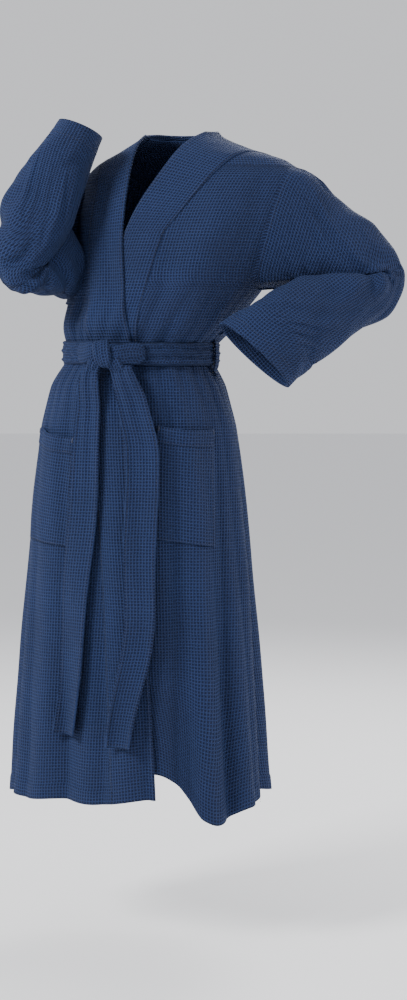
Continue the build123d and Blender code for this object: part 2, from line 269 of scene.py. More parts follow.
def pleat(phase):
    """A soft fold with a rounded crest and a sharper valley."""
    return 1.9 * np.sqrt(np.cos(0.5 * phase) ** 2 + 0.015) - 1.25


def drape(angle, height):
    """How far folds move the cloth out. All layers share it, so they stay in order."""
    from_belt = height - WAIST
    below = ease((-0.03 - from_belt) / 0.75)
    bend = 1.3 * np.sin(2.0 * angle + 0.6) + 0.7 * np.sin(3.0 * angle + 2.0)
    flutes = 0.75 * pleat(9.0 * angle + bend + 0.9 * below)
    flutes = flutes + 0.40 * pleat(16.0 * angle + 2.4 * np.sin(angle + 0.5) - 1.5 * below)
    flutes = flutes + 0.25 * ring_noise(6.0, angle, 5.0 * height, 4)
    skirt = 0.0150 * (0.25 * ease((-0.02 - from_belt) / 0.12) + 0.75 * below) * flutes
    gather = pleat(29.0 * angle + 2.2 * np.sin(3.0 * angle) + 7.0 * from_belt)
    gather = 0.7 * gather + 0.5 * ring_noise(17.0, angle, 7.0 * height, 7)
    under_belt = hump(from_belt, 0.020)
    gathers = 0.0046 * np.exp(-np.abs(from_belt) / 0.085) * (1.0 - 0.8 * under_belt) * gather
    blouse = 0.0110 * hump(from_belt - 0.052, 0.034)
    flare = 0.0050 * hump(from_belt + 0.055, 0.040)
    chest = ease((from_belt - 0.02) / 0.06) * ease((0.00 - height) / 0.10)
    drag = pleat(10.0 * angle + 16.0 * height + 1.5 * np.sin(2.0 * angle + 9.0 * height))
    drag = 0.0046 * chest * (0.8 * drag + 0.9 * ring_noise(8.0, angle, 24.0 * height, 12))
    fine = 0.0011 * ring_noise(24.0, angle, 30.0 * height, 21) * ease((0.0 - height) / 0.08)
    return sizes().folds * (skirt + gathers + blouse + flare + drag + fine - 0.0020 * under_belt)


def to_world(x, y, z):
    """Body-frame places as row-frame points."""
    return np.stack((x * TURN_COS + y * TURN_SIN, -x * TURN_SIN + y * TURN_COS, z), axis=-1)


def body_point(angle, height, distance):
    """Points on the worn body, moved out by distance."""
    angle, height, distance = np.broadcast_arrays(angle, height, distance)
    shift, half_width, half_depth = outline_at(height)
    out = distance + drape(angle, height)
    x = shift + (half_width + out) * np.cos(angle)
    y = (half_depth + out) * np.sin(angle)
    return to_world(x, y, height)


def body_rows(top, bottom, spacing):
    """Heights whose rows are evenly spaced along the cloth, closer where the shoulder flattens."""
    fine = np.linspace(top, bottom, 1500)
    _, half_width, half_depth = outline_at(fine)
    run = np.hypot(np.hypot(np.diff(fine), np.diff(half_width)), np.diff(half_depth))
    length = np.concatenate(((0.0,), np.cumsum(run)))
    rows = max(int(length[-1] / spacing), 4)
    return np.interp(np.linspace(0.0, length[-1], rows), length, fine)


# ---------------------------------------------------------------- meshes


def cloth_uv(points, closed):
    """Cloth places in metres: along each row from its middle, and down the middle column."""
    across = np.linalg.norm(np.diff(points, axis=1), axis=2)
    u = np.concatenate((np.zeros((len(points), 1)), np.cumsum(across, axis=1)), axis=1)
    if not closed:
        u = u - u[:, -1:] * 0.5
    down = np.linalg.norm(np.diff(points, axis=0), axis=2)
    v = np.concatenate((np.zeros((1, points.shape[1])), np.cumsum(down, axis=0)), axis=0)
    if not closed:
        v = np.broadcast_to(np.median(v, axis=1)[:, None], u.shape)
    return np.stack((u, v), axis=-1)


def cloth_area(points):
    """Area of one layer of a grid that closes on itself sideways."""
    wide = np.roll(points, -1, axis=1)
    diagonals = np.cross(wide[1:] - points[:-1], wide[:-1] - points[1:])
    return float(0.5 * np.linalg.norm(diagonals, axis=2).sum())


def add_object(name, data):
    """A new object in the scene."""
    piece = bpy.data.objects.new(name, data)
    bpy.context.collection.objects.link(piece)
    return piece


def grid_object(name, points, closed=False, uv=None, flip=False):
    """A mesh object from a grid of points, with its cloth places as UVs."""
    if closed:
        points = np.concatenate((points, points[:, :1]), axis=1)
    if uv is None:
        uv = cloth_uv(points, closed)
    rows, columns = points.shape[:2]
    index = np.arange(rows * columns).reshape(rows, columns)
    corners = [index[:-1, :-1], index[:-1, 1:], index[1:, 1:], index[1:, :-1]]
    if flip:
        corners.reverse()
    faces = np.stack(corners, axis=-1).reshape(-1, 4)
    mesh = bpy.data.meshes.new(name)
    mesh.from_pydata(points.reshape(-1, 3).tolist(), [], faces.tolist())
    layer = mesh.uv_layers.new(name="UVMap")
    layer.data.foreach_set("uv", uv.reshape(-1, 2)[faces.ravel()].ravel())
    work = bmesh.new()
    work.from_mesh(mesh)
    bmesh.ops.remove_doubles(work, verts=work.verts, dist=1e-5)
    flat = [face for face in work.faces if face.calc_area() < 1e-10]
    bmesh.ops.delete(work, geom=flat, context="FACES")
    loose = [vert for vert in work.verts if not vert.link_faces]
    bmesh.ops.delete(work, geom=loose, context="VERTS")
    for face in work.faces:
        face.smooth = True
    work.to_mesh(mesh)
    work.free()
    return add_object(name, mesh)


def settle_modifiers(piece):
    """Turn the modified shape into the piece's own mesh."""
    bpy.context.view_layer.update()
    shaped = bpy.data.meshes.new_from_object(
        piece.evaluated_get(bpy.context.evaluated_depsgraph_get()))
    piece.modifiers.clear()
    piece.data = shaped


def thicken(piece, thickness):
    """Give cloth its thickness, inwards from its outer face."""
    solid = piece.modifiers.new("Thickness", "SOLIDIFY")
    solid.thickness = thickness
    solid.offset = -1.0
    solid.use_even_offset = False
    settle_modifiers(piece)
    return piece


def finish_piece(piece, body, node=None, slot="waffle_cloth"):
    """Material, slot, body and the CAD node that the piece stands for."""
    piece.data.materials.clear()
    piece.data.materials.append(material(slot))
    if body is not None:
        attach(piece, body)
    if node is not None:
        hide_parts(node)
    return piece


def cloth_piece(name, points, body, node=None, thickness=None, slot="waffle_cloth", **grid):
    """A finished piece of cloth from a grid of points."""
    piece = thicken(grid_object(name, points, **grid), thickness or sizes().cloth)
    return finish_piece(piece, body, node, slot)


# ---------------------------------------------------------------- materials


class Nodes:
    """Short calls for building a node material."""

    def __init__(self, name):
        self.material = bpy.data.materials.new(name)
        self.material.use_nodes = True
        self.tree = self.material.node_tree
        self.shader = self.tree.nodes["Principled BSDF"]

    def add(self, kind, **settings):
        node = self.tree.nodes.new(kind)
        for key, value in settings.items():
            setattr(node, key, value)
        return node

    def put(self, source, target):
        self.tree.links.new(source, target)

    def math(self, operation, first, second=None, third=None):
        node = self.add("ShaderNodeMath", operation=operation)
        for socket, value in zip(node.inputs, (first, second, third)):
            if value is None:
                continue
            if isinstance(value, (int, float)):
                socket.default_value = value
            else:
                self.put(value, socket)
        return node.outputs[0]

    def texture(self, kind, vector, output, **inputs):
        node = self.add(kind)
        for name, value in inputs.items():
            node.inputs[name].default_value = value
        self.put(vector, node.inputs["Vector"])
        return node.outputs[output]

    def bump(self, height, strength, distance):
        node = self.add("ShaderNodeBump")
        node.inputs["Strength"].default_value = strength
        node.inputs["Distance"].default_value = distance
        self.put(height, node.inputs["Height"])
        self.put(node.outputs[0], self.shader.inputs["Normal"])

    def surface(self, **inputs):
        for name, value in inputs.items():
            self.shader.inputs[name.replace("_", " ")].default_value = value

    def blend(self, share, first, second, mode="MIX"):
        node = self.add("ShaderNodeMix", data_type="RGBA", blend_type=mode)
        for socket, value in (
                (node.inputs[0], share), (node.inputs[6], first), (node.inputs[7], second)):
            if isinstance(value, bpy.types.NodeSocket):
                self.put(value, socket)
            else:
                socket.default_value = value
        return node.outputs[2]


def raised_thread(nodes, place, cell):
    """1 on the raised threads that run one way, 0 in the hollows between them."""
    turns = nodes.math("FRACT", nodes.math("MULTIPLY", place, 1.0 / cell))
    from_middle = nodes.math("ABSOLUTE", nodes.math("SUBTRACT", turns, 0.5))
    ramp = nodes.add("ShaderNodeMapRange", interpolation_type="SMOOTHSTEP")
    nodes.put(from_middle, ramp.inputs[0])
    ramp.inputs[1].default_value = 0.13
    ramp.inputs[2].default_value = 0.46
    return ramp.outputs[0]


def waffle_material():
    """Navy waffle cloth: raised threads round sunken cells, painted light on the ridges, painted
    shade in the hollows, with yarn and tone changes.
    """
    nodes = Nodes("navy_waffle_cloth")
    cell = sizes().cell
    uv = nodes.add("ShaderNodeUVMap", uv_map="UVMap")
    wander = nodes.texture("ShaderNodeTexNoise", uv.outputs[0], 0, Scale=60.0, Detail=2.0)
    split = nodes.add("ShaderNodeSeparateXYZ")
    nodes.put(uv.outputs[0], split.inputs[0])
    sway = nodes.math("MULTIPLY", nodes.math("SUBTRACT", wander, 0.5), 0.30 * cell)
    across = raised_thread(nodes, nodes.math("ADD", split.outputs[0], sway), cell)
    along = raised_thread(nodes, nodes.math("SUBTRACT", split.outputs[1], sway), cell)
    grid = nodes.math("MAXIMUM", across, along)
    crossing = nodes.math("MULTIPLY", across, along)
    height = nodes.math("ADD", grid, nodes.math("MULTIPLY", crossing, 0.35))
    yarn = nodes.texture("ShaderNodeTexNoise", uv.outputs[0], 0, Scale=2600.0, Detail=3.0)
    height = nodes.math("ADD", height, nodes.math("MULTIPLY", yarn, 0.35))
    tone = nodes.texture("ShaderNodeTexNoise", uv.outputs[0], 0, Scale=9.0, Detail=4.0)
    # Painted light and shade: the lit ridge colour on the raised threads, the darker shaded pit
    # colour in the hollows.
    cloth = nodes.blend(grid, tuple(colours().shaded_pit), tuple(colours().ridge))
    speck = nodes.math("MULTIPLY_ADD", yarn, 0.55, 0.72)
    cast = nodes.math("MULTIPLY_ADD", tone, 0.50, 0.75)
    shade = nodes.add("ShaderNodeCombineColor")
    amount = nodes.math("MULTIPLY", speck, cast)
    for socket in shade.inputs:
        nodes.put(amount, socket)
    nodes.put(
        nodes.blend(1.0, cloth, shade.outputs[0], "MULTIPLY"), nodes.shader.inputs["Base Color"])
    rough = nodes.math("MULTIPLY_ADD", grid, -0.10, 0.92)
    nodes.put(rough, nodes.shader.inputs["Roughness"])
    nodes.bump(height, 0.9, 0.0028)
    nodes.surface(Sheen_Weight=0.07, Sheen_Roughness=0.45, Sheen_Tint=(0.20, 0.38, 0.90, 1.0))
    nodes.surface(Specular_IOR_Level=0.25)
    return nodes.material


def thread_material():
    """Sewing thread: two plies twisted round each other, slightly shiny."""
    nodes = Nodes("navy_sewing_thread")
    place = nodes.add("ShaderNodeTexCoord")
    ply = nodes.texture(
        "ShaderNodeTexWave", place.outputs["Object"], 1, Scale=900.0, Distortion=2.0)
    base = tuple(colours().thread)
    dark = tuple(0.55 * part for part in base[:3]) + (1.0,)
    nodes.put(nodes.blend(ply, dark, base), nodes.shader.inputs["Base Color"])
    nodes.surface(Roughness=0.55, Sheen_Weight=0.15)
    return nodes.material


def label_material():
    """Off-white woven tape with a fine diagonal weave and no writing."""
    nodes = Nodes("woven_label_tape")
    place = nodes.add("ShaderNodeTexCoord")
    turn = nodes.add("ShaderNodeMapping")
    turn.inputs["Rotation"].default_value = (0.0, 0.785, 0.0)
    nodes.put(place.outputs["Object"], turn.inputs["Vector"])
    weave = nodes.texture("ShaderNodeTexWave", turn.outputs[0], 1, Scale=700.0)
    base = tuple(colours().label)
    dark = tuple(0.82 * part for part in base[:3]) + (1.0,)
    nodes.put(nodes.blend(weave, dark, base), nodes.shader.inputs["Base Color"])
    nodes.bump(weave, 0.3, 0.0002)
    nodes.surface(Roughness=0.7)
    return nodes.material


MATERIALS = {
    "waffle_cloth": ("navy_waffle_cloth", waffle_material),
    "thread": ("navy_sewing_thread", thread_material),
    "label_cloth": ("woven_label_tape", label_material),
}


def material(slot):
    """A slot's material, made the first time it is asked for."""
    name, make = MATERIALS[slot]
    return bpy.data.materials.get(name) or make()


# ---------------------------------------------------------------- seam lines kept for the stitching

stitch_lines = {}


def keep_line(body, points):
    """Remember a line of stitches that moves with a body or a blended piece."""
    stitch_lines.setdefault(body, []).append(np.asarray(points, float))


def keep_ring(body, ring, lift):
    """Remember a closed ring of stitches, lifted off the cloth."""
    ring = ring + lift * unit(ring - ring.mean(axis=0))
    keep_line(body, np.concatenate((ring, ring[:1])))


# ---------------------------------------------------------------- panels


def front_edge_lift(share, height):
    """The free front edge stands a little proud of the cloth under it, more towards the hem."""
    return (0.0012 + 0.0050 * ease((WAIST - height) / 0.7)) * ease((share - 0.80) / 0.20)


def hem_drop(angle):
    """Small rises and falls of the hem round the body."""
    return 0.004 * np.sin(5.0 * angle + 0.7) + 0.003 * np.sin(9.0 * angle)


# How far the under layer's hem rises or sinks, by place across the body
UNDER_HEM = np.array((
    (-0.300, 0.030), (-0.050, 0.060), (0.016, 0.062), (0.048, 0.050), (0.070, 0.022),
    (0.086, -0.012), (0.104, -0.022), (0.124, -0.016), (0.142, 0.004), (0.160, 0.012)))


def under_hem(angle):
    """The rise of the left front's hem."""
    return smooth_lookup(-0.084 + 0.236 * np.cos(angle), UNDER_HEM[:, 0], UNDER_HEM[:, 1])


def back_hem(angle):
    """The rise of the back's hem towards the left side seam."""
    return 0.0085 * ease((np.cos(angle) - 0.4) / 0.6)


def outer_hem(angle):
    """The rise of the right front's hem towards its free edge."""
    return 0.018 * ease((np.cos(angle) + 0.9) / 1.1)


def hem_share(height):
    """1 at the hem, 0 where its rises and falls have faded out."""
    return ease((HEM + HEM_REACH - height) / HEM_REACH)


def layer_out(distance, share):
    """A panel starts in the under layer and rises to its own."""
    return UNDER_LAYER + (distance - UNDER_LAYER) * ease(share / 0.4)


def neck_lift(height):
    """The band stands a little proud round the back of the neck."""
    return 0.0022 * ease((height + 0.05) / 0.05)


def panel_points(start, end, heights, columns, distance, rise):
    """A grid of points between two angle lines that are functions of height."""
    share = np.linspace(0.0, 1.0, columns)[None, :]
    first = start(heights)[:, None]
    last = end(heights)[:, None]
    angle = first + (last - first) * share
    height = np.broadcast_to(heights[:, None], angle.shape)
    hem_fold = 0.0014 * ease((HEM + 0.026 - height) / 0.003)
    height = height + hem_share(height) * (hem_drop(angle) + rise(angle))
    return body_point(angle, height, layer_out(distance, share) + hem_fold)


def hem_line(start, end, distance, rise):
    """Stitches along a hem."""
    share = np.linspace(0.0, 1.0, 400)
    height = np.full(400, HEM + HEM_STITCHES)
    angle = start(height) + (end(height) - start(height)) * share
    near_hem = float(ease((HEM_REACH - HEM_STITCHES) / HEM_REACH))
    drop = hem_drop(angle) + rise(angle)
    return body_point(angle, height + near_hem * drop, layer_out(distance, share) + 0.0006)


def side_seam(armhole, front):
    """A side seam, armhole and shoulder, as a line that gives the angle at each height."""
    return lambda height: armhole_angle(armhole, height, front)


left_side = side_seam(LEFT_ARMHOLE, True)
right_side = side_seam(RIGHT_ARMHOLE, True)


def edge_x(edge, height):
    """How far sideways a front edge is at a height."""
    return smooth_lookup(height, edge[:, 0], edge[:, 1])


def right_band_seam(height):
    """Where the right front meets its band."""
    return np.maximum(
        front_angle(edge_x(RIGHT_EDGE, height) - BAND_WIDTH, height), right_side(height))


def left_band_seam(height):
    """Where the left front meets its band."""
    return np.minimum(
        front_angle(edge_x(LEFT_EDGE, height) + BAND_WIDTH, height), left_side(height))


def tucked(line, amount):
    """The same seam line, moved a little under its neighbour."""
    return lambda height: line(height) + amount


def make_back():
    """The back panel, from the side seams to the neck."""
    heights = body_rows(NECK_TOP - 0.004, HEM, PANEL_STEP)
    start = side_seam(LEFT_ARMHOLE, False)
    end = side_seam(RIGHT_ARMHOLE, False)
    points = panel_points(start, end, heights, 130, UNDER_LAYER, back_hem)
    piece = cloth_piece("back_cloth", points, ROOT, "back_panel", flip=True)
    keep_line(ROOT, hem_line(start, end, UNDER_LAYER, back_hem))
    for line, inset in ((start, 0.012), (end, -0.012)):
        rows = body_rows(-0.30, HEM, 0.004)
        keep_line(ROOT, body_point(line(rows) + inset, rows, UNDER_LAYER + 0.0004))
    return piece


def make_right_front():
    """The outer front, from the right side seam to its band."""
    heights = body_rows(-0.014, HEM, PANEL_STEP)
    points = panel_points(
        right_side, tucked(right_band_seam, 0.02), heights, 92, OVER_LAYER, outer_hem)
    piece = cloth_piece("right_front_cloth", points, ROOT, "right_front_panel", flip=True)
    keep_line(ROOT, hem_line(right_side, right_band_seam, OVER_LAYER, outer_hem))
    return piece


def make_left_front():
    """The under front, from its band to the left side seam."""
    heights = body_rows(-0.014, HEM, PANEL_STEP)
    points = panel_points(
        tucked(left_band_seam, -0.02), left_side, heights, 150, UNDER_LAYER, under_hem)
    piece = cloth_piece("left_front_cloth", points, ROOT, "left_front_panel", flip=True)
    keep_line(ROOT, hem_line(left_band_seam, left_side, UNDER_LAYER, under_hem))
    return piece


def band_lines(edge, right):
    """A band's free edge and seam, as angle and height, from the hem to the middle of the back."""
    step = 0.0055
    climb = np.arange(HEM, CROSSING, step)
    side = -1.0 if right else 1.0
    free_angle = [front_angle(edge_x(edge, climb), climb)]
    seam_angle = [front_angle(edge_x(edge, climb) + side * BAND_WIDTH, climb)]
    free_height = [climb]
    seam_height = [climb]
    share = np.linspace(0.0, 1.0, 36)
    free_top = CROSSING + share * (NECK_TOP - CROSSING)
    seam_top = CROSSING + share * (BAND_SEAM_TOP - CROSSING)
    ridge_x = -0.124 if right else 0.136
    start_x = float(edge_x(edge, CROSSING)) + side * BAND_WIDTH
    free_angle.append(front_angle(edge_x(edge, free_top), free_top))
    seam_angle.append(front_angle(start_x + share * (ridge_x - start_x), seam_top))
    free_height.append(free_top)
    seam_height.append(seam_top)
    ridge = HALF_TURN if right else FULL_TURN
    back = QUARTER_TURN if right else FULL_TURN + QUARTER_TURN
    round_neck = np.linspace(0.0, 1.0, 34)[1:]
    first = float(free_angle[-1][-1])
    free_angle.append(first + round_neck * (back - first))
    seam_angle.append(ridge + round_neck * (back - ridge))
    free_height.append(NECK_TOP + 0.006 * ease(round_neck * 2.0))
    seam_height.append(BAND_SEAM_TOP - 0.030 * ease(round_neck * 1.5))
    turned = [np.zeros(len(climb)), ease(share), np.ones(len(round_neck))]
    lines = (free_angle, free_height, seam_angle, seam_height, turned)
    return tuple(np.concatenate(part) for part in lines)


def make_band(name, edge, right, node):
    """A doubled band up one front edge and on to the middle of the back of the neck."""
    free_angle, free_height, seam_angle, seam_height, turned = band_lines(edge, right)
    share = np.linspace(0.0, 1.0, 17)[None, :]
    angle = free_angle[:, None] + (seam_angle - free_angle)[:, None] * share
    height = free_height[:, None] + (seam_height - free_height)[:, None] * share
    rise = outer_hem(angle) if right else under_hem(angle)
    height = height + hem_share(height) * (hem_drop(angle) + rise)
    layer = OVER_LAYER if right else UNDER_LAYER
    base = layer + (0.5 * (OVER_LAYER + UNDER_LAYER) - layer) * turned + BAND_RISE
    round_edge = -0.0014 * (np.exp(-share / 0.035) + np.exp(-(1.0 - share) / 0.03))
    out = base[:, None] + round_edge + (front_edge_lift(1.0 - share, height) if right else 0.0)
    points = body_point(angle, height, out + neck_lift(height))
    piece = cloth_piece(name, points, ROOT, node, 1.5 * sizes().cloth, flip=right)
    for column in BAND_STITCHES:
        line_angle = free_angle + (seam_angle - free_angle) * column
        line_height = free_height + (seam_height - free_height) * column
        near = np.full(line_angle.shape, column)
        out = base + (front_edge_lift(1.0 - near, line_height) if right else 0.0)
        out = out + neck_lift(line_height)
        rise = hem_drop(line_angle) + (outer_hem(line_angle) if right else under_hem(line_angle))
        line_height = line_height + hem_share(line_height) * rise
        keep_line(ROOT, body_point(line_angle, line_height, out + 0.0003))
    return piece


# ---------------------------------------------------------------- sleeves

# Middle of the sleeve, half height and half depth, from the armhole over the elbow to the cuff
LEFT_SLEEVE = np.array((
    (0.168, -0.060, -0.145, 0.112, 0.060),
    (0.210, -0.064, -0.158, 0.092, 0.060),
    (0.262, -0.068, -0.179, 0.080, 0.058),
    (0.312, -0.071, -0.200, 0.066, 0.054),
    (0.346, -0.073, -0.217, 0.046, 0.050),
    (0.356, -0.077, -0.240, 0.036, 0.048),
    (0.340, -0.090, -0.262, 0.042, 0.050),
    (0.300, -0.104, -0.270, 0.054, 0.053),
    (0.258, -0.118, -0.282, 0.064, 0.054),
    (0.200, -0.138, -0.312, 0.073, 0.054),
    (0.158, -0.150, -0.345, 0.077, 0.051),
    (0.126, -0.160, -0.371, 0.081, 0.048),
))
RIGHT_SLEEVE = np.array((
    (-0.168, 0.064, -0.160, 0.108, 0.056),
    (-0.200, 0.032, -0.172, 0.094, 0.060),
    (-0.224, -0.012, -0.186, 0.084, 0.058),
    (-0.246, -0.050, -0.198, 0.070, 0.054),
    (-0.266, -0.078, -0.214, 0.050, 0.050),
    (-0.278, -0.094, -0.222, 0.044, 0.048),
    (-0.276, -0.098, -0.196, 0.052, 0.050),
    (-0.264, -0.094, -0.160, 0.060, 0.054),
    (-0.252, -0.090, -0.120, 0.066, 0.056),
    (-0.236, -0.085, -0.085, 0.060, 0.058),
    (-0.206, -0.076, -0.030, 0.048, 0.062),
    (-0.176, -0.066, 0.024, 0.041, 0.066),
))
SLEEVES = {
    "left": dict(
        line=LEFT_SLEEVE, armhole=LEFT_ARMHOLE, tip=5, elbow=(0.296, -0.080, -0.238),
        fold=(0.06, -0.25, -0.97), cuff_way=(-0.66, -0.22, -0.72)),
    "right": dict(
        line=RIGHT_SLEEVE, armhole=RIGHT_ARMHOLE, tip=5, elbow=(-0.242, -0.066, -0.178),
        fold=(-0.43, -0.56, 0.71), cuff_way=(0.37, 0.05, 0.93)),
}
RINGS_PER_SPAN = 13
ROUND = 120  # points round a ring
FOLD_GAP = 0.0016  # between the two parts where a bent sleeve meets itself
MOST_SHIFT = 0.0045  # the furthest that the simulation may move the cloth
FACING_RINGS = 22
CUFF_STITCH_RING = -7
ARMHOLE_STITCH_RING = 2


def unit(vector):
    """The same direction with a length of one."""
    vector = np.asarray(vector, float)
    return vector / np.linalg.norm(vector, axis=-1, keepdims=True)


def curve_through(points, steps):
    """A smooth curve through points (Catmull-Rom), and each sample's place along the list."""
    points = np.asarray(points, float)
    padded = np.vstack((2.0 * points[0] - points[1], points, 2.0 * points[-1] - points[-2]))
    samples, places = [], []
    for i in range(len(points) - 1):
        last = i == len(points) - 2
        for t in np.linspace(0.0, 1.0, steps + (1 if last else 0), endpoint=last):
            a, b, c, d = padded[i:i + 4]
            samples.append(0.5 * (
                2.0 * b + (c - a) * t + (2.0 * a - 5.0 * b + 4.0 * c - d) * t * t
                + (3.0 * b - a - 3.0 * c + d) * t ** 3))
            places.append(i + t)
    return np.array(samples), np.array(places)


def armhole_ring(armhole, turn, distance):
    """The armhole seam as a ring on the body, in step with the sleeve's rings."""
    low = armhole[0, 0]
    rows = np.linspace(low, armhole[1, 0] + SEAM_REACH, 400)
    closed = FULL_TURN if armhole[0, 1] > 0.0 else HALF_TURN
    high = rows[np.abs(armhole_angle(armhole, rows, True) - closed) > 1e-6].max() + 0.001
    height = 0.5 * (low + high) + 0.5 * (high - low) * np.sin(turn)
    front = armhole_angle(armhole, height, True)
    back = armhole_angle(armhole, height, False)
    return body_point(np.where(np.cos(turn) > 0.0, back, front), height, distance)


def sleeve_grid(spec):
    """Rings from armhole to cuff, the same without folds, and each ring's place in the line."""
    samples, places = curve_through(spec["line"], RINGS_PER_SPAN)
    middle, half_height, half_depth = samples[:, :3], samples[:, 3:4], samples[:, 4:5]
    way = unit(np.gradient(middle, axis=0))
    swing = ease((places - (len(spec["line"]) - 2.6)) / 1.6)[:, None]
    way = unit(way * (1.0 - swing) + unit(spec["cuff_way"]) * swing)
    depth = np.array((0.0, 1.0, 0.0)) - way[:, 1:2] * way
    depth = unit(depth)
    up = np.cross(way, depth)
    if up[0, 2] < 0.0:
        up = -up
    turn = np.linspace(0.0, FULL_TURN, ROUND, endpoint=False)
    out = depth[:, None, :] * np.cos(turn)[None, :, None] * half_depth[:, None, :]
    out = out + up[:, None, :] * np.sin(turn)[None, :, None] * half_height[:, None, :]
    length = np.concatenate(((0.0,), np.cumsum(np.linalg.norm(np.diff(middle, axis=0), axis=1))))
    near_tip = hump(places - spec["tip"], 2.6)[:, None]
    calm = (ease(places / 1.2) * ease((len(spec["line"]) - 1.0 - places) / 1.2))[:, None]
    around = turn[None, :]
    along = length[:, None]
    inner = ease(0.5 - 0.9 * np.sin(around))
    wide = np.cos(around) * soft_noise(2.0 * np.sin(around), 30.0 * along, 31)
    wide = wide + np.sin(around) * soft_noise(2.0 * np.cos(around), 30.0 * along, 37)
    creases = pleat(
        105.0 * along + 1.6 * np.cos(around) + 1.2 * np.cos(2.0 * around + 20.0 * along))
    spiral = pleat(3.0 * around + 34.0 * along + 0.8 * np.sin(around))
    swell = calm * (0.0048 * wide + 0.0085 * near_tip * inner * creases + 0.0032 * spiral)
    swell = swell + 0.0008 * calm * np.sin(7.0 * around + 90.0 * along)
    plain = middle[:, None, :] + out
    points = plain + unit(out) * swell[..., None] * sizes().folds
    outer = np.where(np.cos(turn) > 0.0, UNDER_LAYER, OVER_LAYER)
    ring = armhole_ring(
        spec["armhole"], turn, outer if spec["armhole"][0, 1] < 0.0 else UNDER_LAYER)
    join = (1.0 - ease(places / 2.2))[:, None, None]
    ring_here = ring[None] + (middle - middle[0])[:, None, :]
    points = points * (1.0 - join) + ring_here * join
    plain = plain * (1.0 - join) + ring_here * join
    inwards = -math.copysign(SEAM_TUCK, spec["armhole"][0, 1])
    wider = np.array(((-SEAM_TUCK, inwards), (0.0, inwards)))
    points[0] = armhole_ring(spec["armhole"] + wider, turn, -0.0004)
    normal = unit(spec["fold"])
    past = (points - np.asarray(spec["elbow"])) @ normal
    before_tip = (places < spec["tip"])[:, None]
    gap = FOLD_GAP * ease(np.abs(places - spec["tip"]) / 0.8)[:, None]
    over = np.where(before_tip, np.maximum(past + gap, 0.0), np.minimum(past - gap, 0.0))
    points = points - over[..., None] * normal
    return points, plain, places


def wrinkle(piece, hold, swell, frames, gravity):
    """A short simulation: cloth a little larger than its pattern buckles into soft wrinkles."""
    group = piece.vertex_groups.new(name="hold")
    for index, weight in enumerate(hold):
        group.add((index,), float(weight), "REPLACE")
    cloth = piece.modifiers.new("Cloth", "CLOTH")
    settings = cloth.settings
    for name, value in dict(
            quality=6, mass=0.25, tension_stiffness=14.0, compression_stiffness=14.0,
            shear_stiffness=4.0, bending_stiffness=0.9, vertex_group_mass="hold",
            pin_stiffness=0.6, shrink_min=-swell).items():
        setattr(settings, name, value)
    settings.effector_weights.gravity = gravity
    cloth.collision_settings.use_collision = False
    scene = bpy.context.scene
    scene.frame_start, scene.frame_end = 1, frames
    cloth.point_cache.frame_start, cloth.point_cache.frame_end = 1, frames
    for number in range(1, frames + 1):
        scene.frame_set(number)
    settle_modifiers(piece)
    piece.vertex_groups.clear()
    scene.frame_set(1)


def wrinkled(points, uv, places, spec):
    """The same grid after its cloth has buckled, held at both ends and at the elbow."""
    work = grid_object("sleeve_work", points, closed=True, uv=uv)
    flat = points.reshape(-1, 3)
    tree = KDTree(len(work.data.vertices))
    for vertex in work.data.vertices:
        tree.insert(vertex.co, vertex.index)
    tree.balance()
    vertex_of = np.array([tree.find(place)[1] for place in flat])
    before = np.array([vertex.co[:] for vertex in work.data.vertices])
    last = len(spec["line"]) - 1.0
    held = hump(places, 0.9) + hump(last - places, 1.1)
    held = held + 0.5 * hump(places - spec["tip"], 0.35)
    hold = np.zeros(len(before))
    hold[vertex_of] = np.clip(0.10 + np.repeat(held, ROUND), 0.0, 1.0)
    wrinkle(work, hold, swell=0.025, frames=12, gravity=0.3)
    shift = np.array([vertex.co[:] for vertex in work.data.vertices]) - before
    size = np.linalg.norm(shift, axis=1, keepdims=True)
    shift = shift * np.minimum(1.0, MOST_SHIFT / np.maximum(size, 1e-9))
    bpy.data.objects.remove(work, do_unlink=True)
    return points + shift[vertex_of].reshape(points.shape)


def make_sleeve(side):
    """One sleeve: an upper part to the elbow and a lower part to the cuff, meeting ring on ring."""
    spec = SLEEVES[side]
    points, plain, places = sleeve_grid(spec)
    tip_ring = int(np.argmin(np.abs(places - spec["tip"])))
    flip = side == "right"
    upper_body = f"{side}_sleeve_upper"
    lower_body = f"{side}_sleeve_lower"
    uv = cloth_uv(np.concatenate((plain, plain[:, :1]), axis=1), True)
    points = wrinkled(points, uv, places, spec)
    pieces = []
    for part, rows, body in (
            ("upper", slice(0, tip_ring + 1), upper_body),
            ("lower", slice(tip_ring, None), lower_body)):
        name = f"{side}_sleeve_{part}_cloth"
        pieces.append(cloth_piece(
            name, points[rows], None, body, closed=True, uv=uv[rows], flip=flip))
    upper, lower = pieces
    armhole_normal = unit(points[RINGS_PER_SPAN * 2].mean(axis=0) - points[0].mean(axis=0))
    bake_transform(upper)
    normal = unit(spec["fold"])
    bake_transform(lower)
    for piece, rows in ((upper, points[:tip_ring + 1]), (lower, points[tip_ring:])):
        around = np.linalg.norm(rows - np.roll(rows, 1, axis=1), axis=2).sum(axis=1).max()
        along = np.linalg.norm(np.diff(rows, axis=0), axis=2).sum(axis=0).max()
        area = min(1.03 * cloth_area(rows), float(around * along))
    spec["points"] = points
    keep_ring(lower_body, points[CUFF_STITCH_RING], 0.0004)
    keep_ring(ROOT, points[ARMHOLE_STITCH_RING], 0.0006)
    return pieces


def make_cuff_facing(side):
    """The turned-in facing inside a sleeve's end."""
    points = SLEEVES[side]["points"][-FACING_RINGS:]
    middle = points.mean(axis=1, keepdims=True)
    inner = points - unit(points - middle) * (sizes().cloth + 0.0006)
    piece = cloth_piece(
        f"{side}_cuff_facing_cloth", inner, f"{side}_sleeve_lower", f"{side}_cuff_facing",
        sizes().cloth * 0.8, closed=True, flip=side == "right")
    around = float(np.linalg.norm(np.diff(inner[-1], axis=0), axis=1).sum())
    along = float(np.linalg.norm(np.diff(middle[:, 0], axis=0), axis=1).sum())
    return piece


